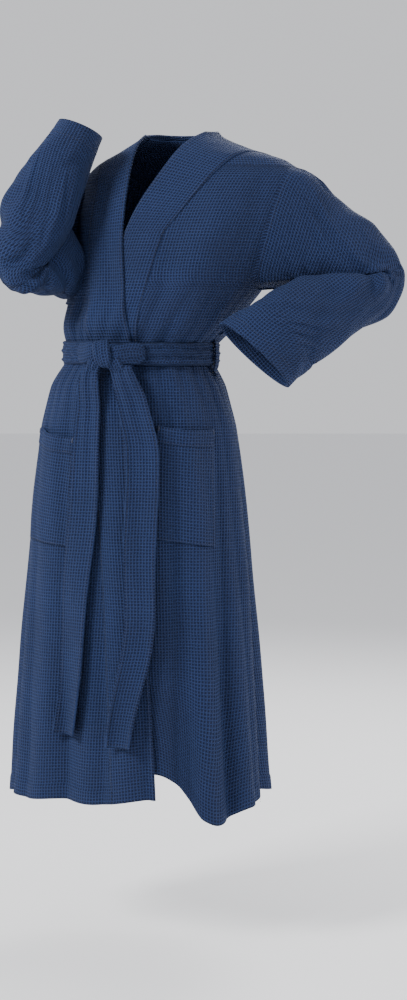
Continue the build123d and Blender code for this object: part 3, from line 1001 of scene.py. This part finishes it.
# ---------------------------------------------------------------- pockets

# Corners seen from the front of the body, sideways then height: two at the mouth, two at the foot
POCKETS = {
    "left": (
        ((0.002, -0.492), (0.080, -0.500)), ((0.004, -0.690), (0.092, -0.705)), UNDER_LAYER),
    "right": (
        ((-0.228, -0.498), (-0.142, -0.515)), ((-0.260, -0.698), (-0.158, -0.708)), OVER_LAYER),
}
POCKET_HEM = 0.15  # share of the pocket's depth
POCKET_STITCHES = (0.030, 0.970)  # shares of its width


def pocket_place(side, share, down, extra=0.0):
    """Points on a patch pocket: share goes across it and down goes from its mouth to its foot."""
    mouth, foot, layer = POCKETS[side]
    share, down = np.broadcast_arrays(share, down)
    x, z = (
        (mouth[0][i] * (1 - share) + mouth[1][i] * share) * (1 - down)
        + (foot[0][i] * (1 - share) + foot[1][i] * share) * down for i in (0, 1))
    sag = np.sin(HALF_TURN * share)
    z = z - 0.004 * sag * (1.0 - ease(down / 0.5))
    room = 0.0062 * sag ** 0.8 * np.sqrt(np.clip(1.0 - down, 0.0, 1.0))
    return body_point(front_angle(x, z), z, layer + POCKET_RISE + room + extra)


def make_pocket(side):
    """A patch pocket with a doubled mouth, sewn down on three sides."""
    share = np.linspace(0.0, 1.0, 40)[None, :]
    down = np.linspace(0.0, 1.0, 64)[:, None]
    points = pocket_place(side, share, down)
    patch = cloth_piece(f"{side}_pocket_cloth", points, ROOT, f"{side}_pocket", flip=True)
    mouth, foot, _ = POCKETS[side]
    hem_down = np.linspace(0.0, POCKET_HEM, 14)[:, None]
    ends = 0.0012 * (np.exp(-hem_down / 0.006) + np.exp(-(POCKET_HEM - hem_down) / 0.006))
    points = pocket_place(side, share, hem_down, 0.0018 - ends)
    hem = cloth_piece(
        f"{side}_pocket_hem_cloth", points, ROOT, f"{side}_pocket_hem", 0.0014, flip=True)
    run = np.linspace(0.0, 1.0, 120)
    for edge in POCKET_STITCHES:
        keep_line(ROOT, pocket_place(side, np.full(120, edge), run, 0.0004))
    keep_line(ROOT, pocket_place(side, 0.03 + 0.94 * run, np.full(120, 0.985), 0.0004))
    keep_line(ROOT, pocket_place(side, 0.03 + 0.94 * run, np.full(120, POCKET_HEM * 0.90), 0.0019))
    return patch


def swept(
        name, middle, normals, half_width, half_thick,
        ridges=0.0, turns=3.0, square=0.75, sides=36):
    """A closed flattened cord along a curve, with ridges running along it and rounded ends."""
    control = np.column_stack((middle, normals, half_width, half_thick))
    samples, places = curve_through(control, 12)
    line = samples[:, :3]
    along = unit(np.gradient(line, axis=0))
    face = samples[:, 3:6] - np.sum(samples[:, 3:6] * along, axis=1, keepdims=True) * along
    face = unit(face)
    side = np.cross(along, face)
    run = places / places[-1]
    ends = np.sqrt(np.clip(1.0 - np.abs(2.0 * run - 1.0) ** 6, 0.0, 1.0))[:, None]
    turn = np.linspace(0.0, FULL_TURN, sides, endpoint=False)[None, :]
    across = squared(np.cos(turn), square)
    out = squared(np.sin(turn), square)
    crease = 1.0 + ridges * np.cos(HALF_TURN * turns * across + 1.6 * np.sin(5.0 * run[:, None]))
    wide = samples[:, 6:7] * ends * across
    thick = samples[:, 7:8] * ends * out * crease
    points = (
        line[:, None, :] + side[:, None, :] * wide[..., None]
        + face[:, None, :] * thick[..., None])
    return grid_object(name, to_world(points[..., 0], points[..., 1], points[..., 2]), closed=True)


def joined(name, pieces):
    """Several meshes as one object."""
    work = bmesh.new()
    for piece in pieces:
        work.from_mesh(piece.data)
    mesh = bpy.data.meshes.new(name)
    work.to_mesh(mesh)
    work.free()
    for piece in pieces:
        bpy.data.objects.remove(piece, do_unlink=True)
    return add_object(name, mesh)


def face_outwards(piece):
    """Turn every face of a closed shape outwards."""
    work = bmesh.new()
    work.from_mesh(piece.data)
    bmesh.ops.recalc_face_normals(work, faces=work.faces)
    work.to_mesh(piece.data)
    work.free()


def make_bar_tacks():
    """Thread bars at both ends of each pocket's mouth."""
    bars = []
    for side in POCKETS:
        for edge in POCKET_STITCHES:
            down = np.linspace(0.004, 0.052, 15)
            world = pocket_place(side, np.full(15, edge), down, 0.0020)
            x = world[:, 0] * TURN_COS - world[:, 1] * TURN_SIN
            y = world[:, 0] * TURN_SIN + world[:, 1] * TURN_COS
            middle = np.stack((x, y, world[:, 2]), axis=1)
            ahead = np.tile((0.0, -1.0, 0.0), (15, 1))
            wide = np.where(np.arange(15) % 2 == 0, 0.0015, 0.0011)
            bars.append(swept("tack", middle, ahead, wide, 0.6 * wide, sides=12))
    piece = joined("pocket_bar_tacks", bars)
    face_outwards(piece)
    return finish_piece(piece, ROOT, "bar_tacks", "thread")


# ---------------------------------------------------------------- belt


def make_belt():
    """The scrunched belt round the waist."""
    turn = np.linspace(0.0, FULL_TURN, 61)[:, None]
    angle = np.linspace(0.0, FULL_TURN, 460, endpoint=False)[None, :]
    across = squared(np.cos(turn), 0.8)
    out = squared(np.sin(turn), 0.7)
    ripple = 0.5 * np.cos(3.0 * angle + 0.8) + 0.5 * np.cos(7.0 * angle)
    half = 0.0205 + 0.0013 * ripple
    z = WAIST + 0.0018 * np.sin(2.0 * angle + 0.4) + half * across
    phase = 1.1 * np.sin(3.0 * angle) + 0.9 * np.sin(8.0 * angle + 1.0)
    crease = 0.0016 * np.cos(8.5 * across + phase) + 0.0009 * np.cos(17.0 * across - 1.7 * phase)
    pull = 0.0007 * np.cos(40.0 * angle + 5.0 * across)
    distance = 0.0130 + 0.0046 * out + (crease + pull) * np.clip(out, 0.0, 1.0)
    shift, half_width, half_depth = outline_at(WAIST)
    x = shift + (half_width + distance) * np.cos(angle)
    y = (half_depth + distance) * np.sin(angle)
    points = to_world(x, y, np.broadcast_to(z, x.shape))
    piece = grid_object("belt_round_waist", points, closed=True, flip=True)
    finish_piece(piece, ROOT, "belt_waist")
    return piece


# Strands of the overhand knot: middle, outward direction, half width, half thickness
KNOT_STRANDS = (
    (((-0.090, -0.146, -0.349), (-0.085, -0.164, -0.351), (-0.079, -0.1715, -0.366),
      (-0.078, -0.165, -0.384), (-0.082, -0.148, -0.391)),
     ((0.0, -0.2, 1.0), (0.0, -0.8, 0.7), (0.0, -1.0, 0.0), (0.0, -0.8, -0.6), (0.0, -0.2, -1.0)),
     (0.013, 0.0155, 0.0165, 0.0155, 0.013), (0.005, 0.0058, 0.0060, 0.0056, 0.005)),
    (((-0.142, -0.133, -0.368), (-0.120, -0.148, -0.366),
      (-0.101, -0.159, -0.363), (-0.086, -0.158, -0.362)),
     ((-0.3, -1.0, 0.0), (-0.4, -1.0, 0.1), (-0.3, -1.0, 0.1), (0.0, -1.0, 0.2)),
     (0.0195, 0.0190, 0.0165, 0.0140), (0.0050, 0.0068, 0.0080, 0.0070)),
    (((-0.016, -0.124, -0.367), (-0.038, -0.143, -0.368),
      (-0.058, -0.157, -0.371), (-0.074, -0.157, -0.371)),
     ((0.3, -1.0, 0.0), (0.4, -1.0, 0.0), (0.3, -1.0, -0.1), (0.0, -1.0, -0.1)),
     (0.0195, 0.0190, 0.0165, 0.0140), (0.0050, 0.0066, 0.0080, 0.0070)),
    (((-0.074, -0.154, -0.370), (-0.063, -0.160, -0.381),
      (-0.057, -0.155, -0.394), (-0.056, -0.149, -0.405)),
     ((0.1, -1.0, 0.1), (0.1, -1.0, -0.2), (0.0, -1.0, -0.3), (0.0, -1.0, -0.2)),
     (0.0120, 0.0130, 0.0140, 0.0145), (0.0060, 0.0062, 0.0050, 0.0034)),
    (((-0.086, -0.154, -0.374), (-0.097, -0.160, -0.383),
      (-0.103, -0.155, -0.395), (-0.104, -0.149, -0.406)),
     ((-0.1, -1.0, 0.1), (-0.1, -1.0, -0.2), (0.0, -1.0, -0.3), (0.0, -1.0, -0.2)),
     (0.0120, 0.0125, 0.0130, 0.0130), (0.0060, 0.0062, 0.0050, 0.0034)),
)


def make_knot():
    """The overhand knot: a wrap over the front, a lobe to each side and both ends' roots."""
    strands = []
    for middle, ahead, wide, thick in KNOT_STRANDS:
        strands.append(swept("strand", middle, ahead, wide, thick, ridges=0.20, turns=2.6))
    piece = joined("belt_overhand_knot", strands)
    face_outwards(piece)
    finish_piece(piece, ROOT, "belt_knot")
    return piece


# Belt ends: height, sideways place, width
TAILS = {
    "right": np.array((
        (-0.392, -0.104, 0.027), (-0.450, -0.108, 0.040), (-0.540, -0.112, 0.045),
        (-0.792, -0.129, 0.050), (-1.039, -0.150, 0.044)))[::-1],
    "left": np.array((
        (-0.392, -0.056, 0.029), (-0.450, -0.038, 0.044), (-0.540, -0.021, 0.050),
        (-0.792, -0.016, 0.046), (-1.051, -0.044, 0.034)))[::-1],
}

TAIL_STITCHES = 0.84  # share of the half width
TAIL_END_GAP = 0.005  # from the end to its stitches


def tail_place(side, share, height):
    """Points on a hanging belt end."""
    line = TAILS[side]
    share, height = np.broadcast_arrays(share, height)
    wide = smooth_lookup(height, line[:, 0], line[:, 2])
    curl = 0.25 + (0.95 if side == "left" else 0.35) * ease((-0.80 - height) / 0.22)
    sway = 0.0022 * np.sin(21.0 * height + (1.0 if side == "left" else 2.4))
    x = (
        smooth_lookup(height, line[:, 0], line[:, 1]) + sway
        + 0.5 * wide * np.sin(curl * share) / np.sin(curl))
    lift = 0.5 * wide * (1.0 - np.cos(curl * share)) / curl
    root = 0.0150 * (1.0 - ease((-0.392 - height) / 0.075))
    wave = 0.0016 * (1.0 + np.sin(14.0 * height + 2.0 * share))
    hollow = 0.0014 * np.cos(7.0 * share + 9.0 * height) * ease((height + 0.70) / 0.25)
    distance = OVER_LAYER + 0.0125 + root + lift + wave + hollow
    return body_point(front_angle(x, height), height, distance)


def make_tail(side):
    """One hanging end of the belt: doubled cloth, stitched near both edges and across its end."""
    line = TAILS[side]
    heights = np.linspace(line[-1, 0] + 0.004, line[0, 0], 190)[:, None]
    share = np.linspace(-1.0, 1.0, 21)[None, :]
    body = f"belt_{side}_tail"
    points = tail_place(side, share, heights)
    piece = cloth_piece(f"belt_{side}_end_cloth", points, body, body, 0.0040, flip=True)
    run = np.linspace(line[-1, 0] - 0.02, line[0, 0] + TAIL_END_GAP, 260)
    off_cloth = np.array((-0.0004 * TURN_SIN, -0.0004 * TURN_COS, 0.0))
    for edge in (-TAIL_STITCHES, TAIL_STITCHES):
        keep_line(body, tail_place(side, np.full(260, edge), run) + off_cloth)
    across = tail_place(
        side, np.linspace(-TAIL_STITCHES, TAIL_STITCHES, 40),
        np.full(40, line[0, 0] + TAIL_END_GAP))
    keep_line(body, across + off_cloth)
    return piece


def make_belt_loop(side):
    """A narrow loop that holds the belt at one side seam."""
    middle = 0.0 if side == "left" else HALF_TURN
    rise = np.array((
        (-0.039, 0.0090), (-0.036, 0.0105), (-0.031, 0.0165), (-0.024, 0.0218), (-0.012, 0.0236),
        (0.0, 0.0240), (0.012, 0.0236), (0.024, 0.0218), (0.031, 0.0165),
        (0.036, 0.0105), (0.039, 0.0090)))
    path, _ = curve_through(rise, 6)
    half = 0.007 / float(outline_at(WAIST)[2])
    angle = middle + np.linspace(-half, half, 9)[None, :]
    shift, half_width, half_depth = outline_at(WAIST)
    fold = ease((np.abs(path[:, :1]) - 0.026) / 0.012)
    out = path[:, 1:2] + fold * drape(angle, WAIST + path[:, :1])
    wider = fold * (outline_at(WAIST + path[:, :1])[1] - half_width)
    x = (
        shift + fold * (outline_at(WAIST + path[:, :1])[0] - shift)
        + (half_width + wider + out) * np.cos(angle))
    y = (half_depth + out) * np.sin(angle)
    points = to_world(x, y, np.broadcast_to(WAIST + path[:, :1], x.shape))
    piece = cloth_piece(f"{side}_belt_loop_cloth", points, ROOT, f"{side}_belt_loop")
    for row in (3, -4):
        keep_line(ROOT, points[row, 1:-1])
    return piece


# ---------------------------------------------------------------- hang loop and labels


def make_hang_loop():
    """A tape loop inside the back of the neck, with its two sewn-in stubs."""
    path = np.array((
        (-0.0230, 0.0080), (-0.0230, -0.0050), (-0.0225, -0.0200), (-0.0170, -0.0300),
        (-0.0060, -0.0330), (0.0120, -0.0330), (0.0230, -0.0300), (0.0285, -0.0200),
        (0.0290, -0.0050), (0.0290, 0.0080)))
    line, _ = curve_through(path, 8)
    along = unit(np.gradient(line, axis=0))
    across = np.stack((-along[:, 1], along[:, 0]), axis=1)
    share = np.linspace(-0.0040, 0.0040, 7)
    flat = line[:, None, :] + across[:, None, :] * share[None, :, None]
    dish = 0.0006 * np.cos(HALF_TURN * share / 0.0080)[None, :]
    depth = np.full(flat.shape[:2], 0.0600) - dish
    points = to_world(flat[..., 0], depth, flat[..., 1])
    tape = cloth_piece("hang_loop_tape", points, "hang_loop", "hang_loop", 0.0014)
    stubs = []
    for x in (-0.0230, 0.0290):
        drop = np.linspace(0.0, 1.0, 9)[:, None]
        wide = np.linspace(-0.0040, 0.0040, 5)[None, :]
        y = 0.0660 - 0.0062 * ease(drop) - 0.004 * drop * (1.0 - drop)
        z = 0.0175 - 0.0105 * drop
        where = np.broadcast_arrays(x + wide, y, z)
        stubs.append(thicken(grid_object("stub", to_world(*where)), 0.0012))
    piece = joined("back_neck_stubs", stubs)
    finish_piece(piece, ROOT)
    return tape


def make_label(name, node, start, end, top, bottom):
    """A blank woven label on the inside of the robe."""
    angle = np.linspace(start, end, 24)[None, :]
    height = np.linspace(top, bottom, 20)[:, None]
    piece = cloth_piece(name, body_point(angle, height, -0.0002), ROOT, node, 0.0007, "label_cloth")
    wide = float(np.linalg.norm(body_point(start, top, 0.0) - body_point(end, top, 0.0)))
    inset = 0.04 * (end - start)
    run = np.linspace(start + inset, end - inset, 60)
    keep_line(ROOT, body_point(run, np.full(60, top - 0.0018), -0.0003))
    return piece


# ---------------------------------------------------------------- stitching


STITCH_NODES = {
    "given": "NodeGroupInput", "result": "NodeGroupOutput", "curve": "GeometryNodeMeshToCurve",
    "spaced": "GeometryNodeResampleCurve", "tangent": "GeometryNodeInputTangent",
    "aim": "FunctionNodeAlignRotationToVector", "bead": "GeometryNodeMeshUVSphere",
    "half": "ShaderNodeMath", "scale": "ShaderNodeCombineXYZ", "vary": "FunctionNodeRandomValue",
    "grow": "ShaderNodeVectorMath", "place": "GeometryNodeInstanceOnPoints",
    "smooth": "GeometryNodeSetShadeSmooth", "real": "GeometryNodeRealizeInstances",
    "paint": "GeometryNodeSetMaterial",
}
# From a node's output to a node's input
STITCH_LINKS = (
    ("given", "Geometry", "curve", 0), ("curve", 0, "spaced", "Curve"),
    ("given", "Pitch", "spaced", "Length"), ("spaced", 0, "place", "Points"),
    ("bead", "Mesh", "place", "Instance"), ("tangent", 0, "aim", "Vector"),
    ("aim", 0, "place", "Rotation"), ("given", "Length", "half", 0),
    ("given", "Radius", "scale", 0),
    ("given", "Radius", "scale", 1), ("half", 0, "scale", 2), ("scale", 0, "grow", 0),
    ("vary", 1, "grow", "Scale"), ("grow", 0, "place", "Scale"), ("place", 0, "real", 0),
    ("real", 0, "smooth", 0), ("smooth", 0, "paint", 0), ("given", "Material", "paint", "Material"),
    ("paint", 0, "result", 0),
)


def stitch_tree():
    """Node group: one small thread bead per stitch along the given lines."""
    tree = bpy.data.node_groups.new("stitch_lines", "GeometryNodeTree")
    face = tree.interface
    face.new_socket("Geometry", in_out="INPUT", socket_type="NodeSocketGeometry")
    for label, size in (("Pitch", 0.0038), ("Length", 0.0030), ("Radius", 0.0003)):
        socket = face.new_socket(label, in_out="INPUT", socket_type="NodeSocketFloat")
        socket.default_value = size
        socket.description = f"{label} of one stitch in metres"
    face.new_socket("Material", in_out="INPUT", socket_type="NodeSocketMaterial")
    face.new_socket("Geometry", in_out="OUTPUT", socket_type="NodeSocketGeometry")
    node = {name: tree.nodes.new(kind) for name, kind in STITCH_NODES.items()}
    node["spaced"].mode = "LENGTH"
    node["aim"].axis = "Z"
    node["half"].operation = "MULTIPLY"
    node["vary"].data_type = "FLOAT"
    node["grow"].operation = "SCALE"
    for name, place, value in (
            ("bead", "Segments", 6), ("bead", "Rings", 4), ("bead", "Radius", 1.0),
            ("half", 1, 0.5), ("vary", 2, 0.88), ("vary", 3, 1.08), ("vary", "Seed", 5)):
        node[name].inputs[place].default_value = value
    for source, output, target, place in STITCH_LINKS:
        tree.links.new(node[source].outputs[output], node[target].inputs[place])
    return tree

PITCH_PER_LENGTH = 1.27


def make_stitching():
    """Every kept seam line as stitches, one piece per body."""
    tree = stitch_tree()
    names = {
        item.name: item.identifier
        for item in tree.interface.items_tree if item.in_out == "INPUT"}
    for body, lines in stitch_lines.items():
        places, edges = [], []
        for line in lines:
            first = len(places)
            places.extend(line.tolist())
            edges.extend((first + i, first + i + 1) for i in range(len(line) - 1))
        mesh = bpy.data.meshes.new(f"{body}_stitches")
        mesh.from_pydata(places, edges, [])
        piece = add_object(f"{body}_stitches", mesh)
        group = piece.modifiers.new("Stitches", "NODES")
        group.node_group = tree
        group[names["Pitch"]] = PITCH_PER_LENGTH * sizes().stitch
        group[names["Length"]] = sizes().stitch
        group[names["Radius"]] = sizes().thread
        group[names["Material"]] = material("thread")
        settle_modifiers(piece)
        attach(piece, body)


# ---------------------------------------------------------------- stage

SENSOR_HEIGHT = 24.0  # millimetres
CAMERA_DISTANCE = 3.60
VIEW_HEIGHT = 1.80  # seen at the robe's distance


def make_stage():
    """A pale floor, a pale surround, soft lamps and a camera in front."""
    bpy.ops.mesh.primitive_plane_add(size=60.0, location=(0.0, 0.0, HEM - 0.26))
    floor = bpy.context.active_object
    floor.name = "studio_floor"
    pale = Nodes("pale_floor")
    pale.surface(Base_Color=(0.86, 0.86, 0.87, 1.0), Roughness=0.8)
    floor.data.materials.append(pale.material)
    world = bpy.data.worlds.new("pale_studio")
    world.use_nodes = True
    world.node_tree.nodes["Background"].inputs["Color"].default_value = (0.95, 0.96, 1.0, 1.0)
    world.node_tree.nodes["Background"].inputs["Strength"].default_value = 0.85
    bpy.context.scene.world = world
    lamps = (
        ("key", (-2.3, -1.9, 1.2), 1.0, 150.0), ("fill", (2.6, -2.4, 0.4), 2.0, 34.0),
        ("back", (0.8, 2.6, 1.3), 1.6, 80.0), ("side", (2.6, 0.4, 0.2), 1.2, 30.0))
    for name, spot, size, power in lamps:
        data = bpy.data.lights.new(f"{name}_lamp", "AREA")
        data.size = size
        data.energy = power
        lamp = add_object(f"{name}_lamp", data)
        lamp.location = spot
        aim = Vector((0.0, 0.0, -0.55)) - Vector(spot)
        lamp.rotation_euler = aim.to_track_quat("-Z", "Y").to_euler()
    data = bpy.data.cameras.new("front_camera")
    data.sensor_fit = "VERTICAL"
    data.sensor_height = SENSOR_HEIGHT
    data.lens = SENSOR_HEIGHT * CAMERA_DISTANCE / VIEW_HEIGHT
    camera = add_object("front_camera", data)
    camera.location = (0.039, -CAMERA_DISTANCE, -0.40)
    aim = Vector((0.039, 0.0, -0.63)) - camera.location
    camera.rotation_euler = aim.to_track_quat("-Z", "Y").to_euler()
    bpy.context.scene.camera = camera


# ---------------------------------------------------------------- operators and panel


def need(*nodes):
    """Stop with an error when the frame lacks a node that a piece stands for."""
    for node in nodes:
        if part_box(node) is None:
            raise RuntimeError(f"the frame has no node named {node}")


class BATHROBE_OT_panels(bpy.types.Operator):
    """Make the back, the outer front and the under front"""

    bl_idname = "bathrobe.panels"
    bl_label = "Back and fronts"

    def execute(self, context):
        need("back_panel", "right_front_panel", "left_front_panel")
        make_back()
        make_right_front()
        make_left_front()
        return {"FINISHED"}


class BATHROBE_OT_bands(bpy.types.Operator):
    """Make the doubled band up both front edges and round the neck"""

    bl_idname = "bathrobe.bands"
    bl_label = "Front and neck bands"

    def execute(self, context):
        need("right_collar_band", "left_collar_band")
        make_band("right_band_cloth", RIGHT_EDGE, True, "right_collar_band")
        make_band("left_band_cloth", LEFT_EDGE, False, "left_collar_band")
        return {"FINISHED"}


class BATHROBE_OT_sleeves(bpy.types.Operator):
    """Make both sleeves and the facings inside their cuffs"""

    bl_idname = "bathrobe.sleeves"
    bl_label = "Sleeves"

    def execute(self, context):
        for side in SLEEVES:
            need(f"{side}_sleeve_upper", f"{side}_sleeve_lower", f"{side}_cuff_facing")
            make_sleeve(side)
            make_cuff_facing(side)
        return {"FINISHED"}


class BATHROBE_OT_pockets(bpy.types.Operator):
    """Make both patch pockets, their doubled mouths and the thread bars"""

    bl_idname = "bathrobe.pockets"
    bl_label = "Pockets"

    def execute(self, context):
        for side in POCKETS:
            need(f"{side}_pocket", f"{side}_pocket_hem")
            make_pocket(side)
        need("bar_tacks")
        make_bar_tacks()
        return {"FINISHED"}


class BATHROBE_OT_belt(bpy.types.Operator):
    """Make the belt round the waist, its knot, both hanging ends and the side loops"""

    bl_idname = "bathrobe.belt"
    bl_label = "Belt"

    def execute(self, context):
        need("belt_waist", "belt_knot")
        make_belt()
        make_knot()
        for side in TAILS:
            need(f"belt_{side}_tail", f"{side}_belt_loop")
            make_tail(side)
            make_belt_loop(side)
        return {"FINISHED"}


class BATHROBE_OT_neck_details(bpy.types.Operator):
    """Make the hang loop and the blank labels inside the robe"""

    bl_idname = "bathrobe.neck_details"
    bl_label = "Hang loop and labels"

    def execute(self, context):
        need("hang_loop", "neck_label", "care_label")
        make_hang_loop()
        middle = float(back_angle(0.003, -0.092))
        half = 0.025 / float(outline_at(-0.092)[1])
        make_label("neck_label_tape", "neck_label", middle - half, middle + half, -0.079, -0.105)
        behind = 0.15
        wide = 0.034 / float(outline_at(-0.760)[2])
        make_label("care_label_tape", "care_label", behind, behind + wide, -0.734, -0.786)
        return {"FINISHED"}


class BATHROBE_OT_stitching(bpy.types.Operator):
    """Lay stitches along every seam, hem and edge"""

    bl_idname = "bathrobe.stitching"
    bl_label = "Stitching"

    def execute(self, context):
        if not stitch_lines:
            raise RuntimeError("make the cloth pieces before the stitching")
        make_stitching()
        return {"FINISHED"}


class BATHROBE_OT_stage(bpy.types.Operator):
    """Set out the floor, the lamps and the camera"""

    bl_idname = "bathrobe.stage"
    bl_label = "Stage"

    def execute(self, context):
        make_stage()
        return {"FINISHED"}


class BATHROBE_PT_main(bpy.types.Panel):
    """Sizes, colours and steps in the sidebar"""

    bl_label = "Bathrobe"
    bl_idname = "BATHROBE_PT_main"
    bl_space_type = "VIEW_3D"
    bl_region_type = "UI"
    bl_category = "Bathrobe"

    def draw(self, context):
        for group in (context.scene.robe_sizes, context.scene.robe_colours):
            for name in group.__annotations__:
                self.layout.prop(group, name)
        for step in STEPS:
            self.layout.operator(step.bl_idname, text=step.bl_label)


STEPS = (
    BATHROBE_OT_panels, BATHROBE_OT_bands, BATHROBE_OT_sleeves, BATHROBE_OT_pockets,
    BATHROBE_OT_belt, BATHROBE_OT_neck_details, BATHROBE_OT_stitching, BATHROBE_OT_stage,
)
CLASSES = (RobeSizes, RobeColours) + STEPS + (BATHROBE_PT_main,)


def register():
    """Add the classes and their settings."""
    for item in CLASSES:
        bpy.utils.register_class(item)
    bpy.types.Scene.robe_sizes = bpy.props.PointerProperty(type=RobeSizes)
    bpy.types.Scene.robe_colours = bpy.props.PointerProperty(type=RobeColours)


def unregister():
    """Remove the classes and their settings."""
    del bpy.types.Scene.robe_colours
    del bpy.types.Scene.robe_sizes
    for item in reversed(CLASSES):
        bpy.utils.unregister_class(item)


def main():
    """Make every piece."""
    register()
    for step in STEPS:
        group, name = step.bl_idname.split(".")
        getattr(getattr(bpy.ops, group), name)()


if __name__ == "__main__":
    main()
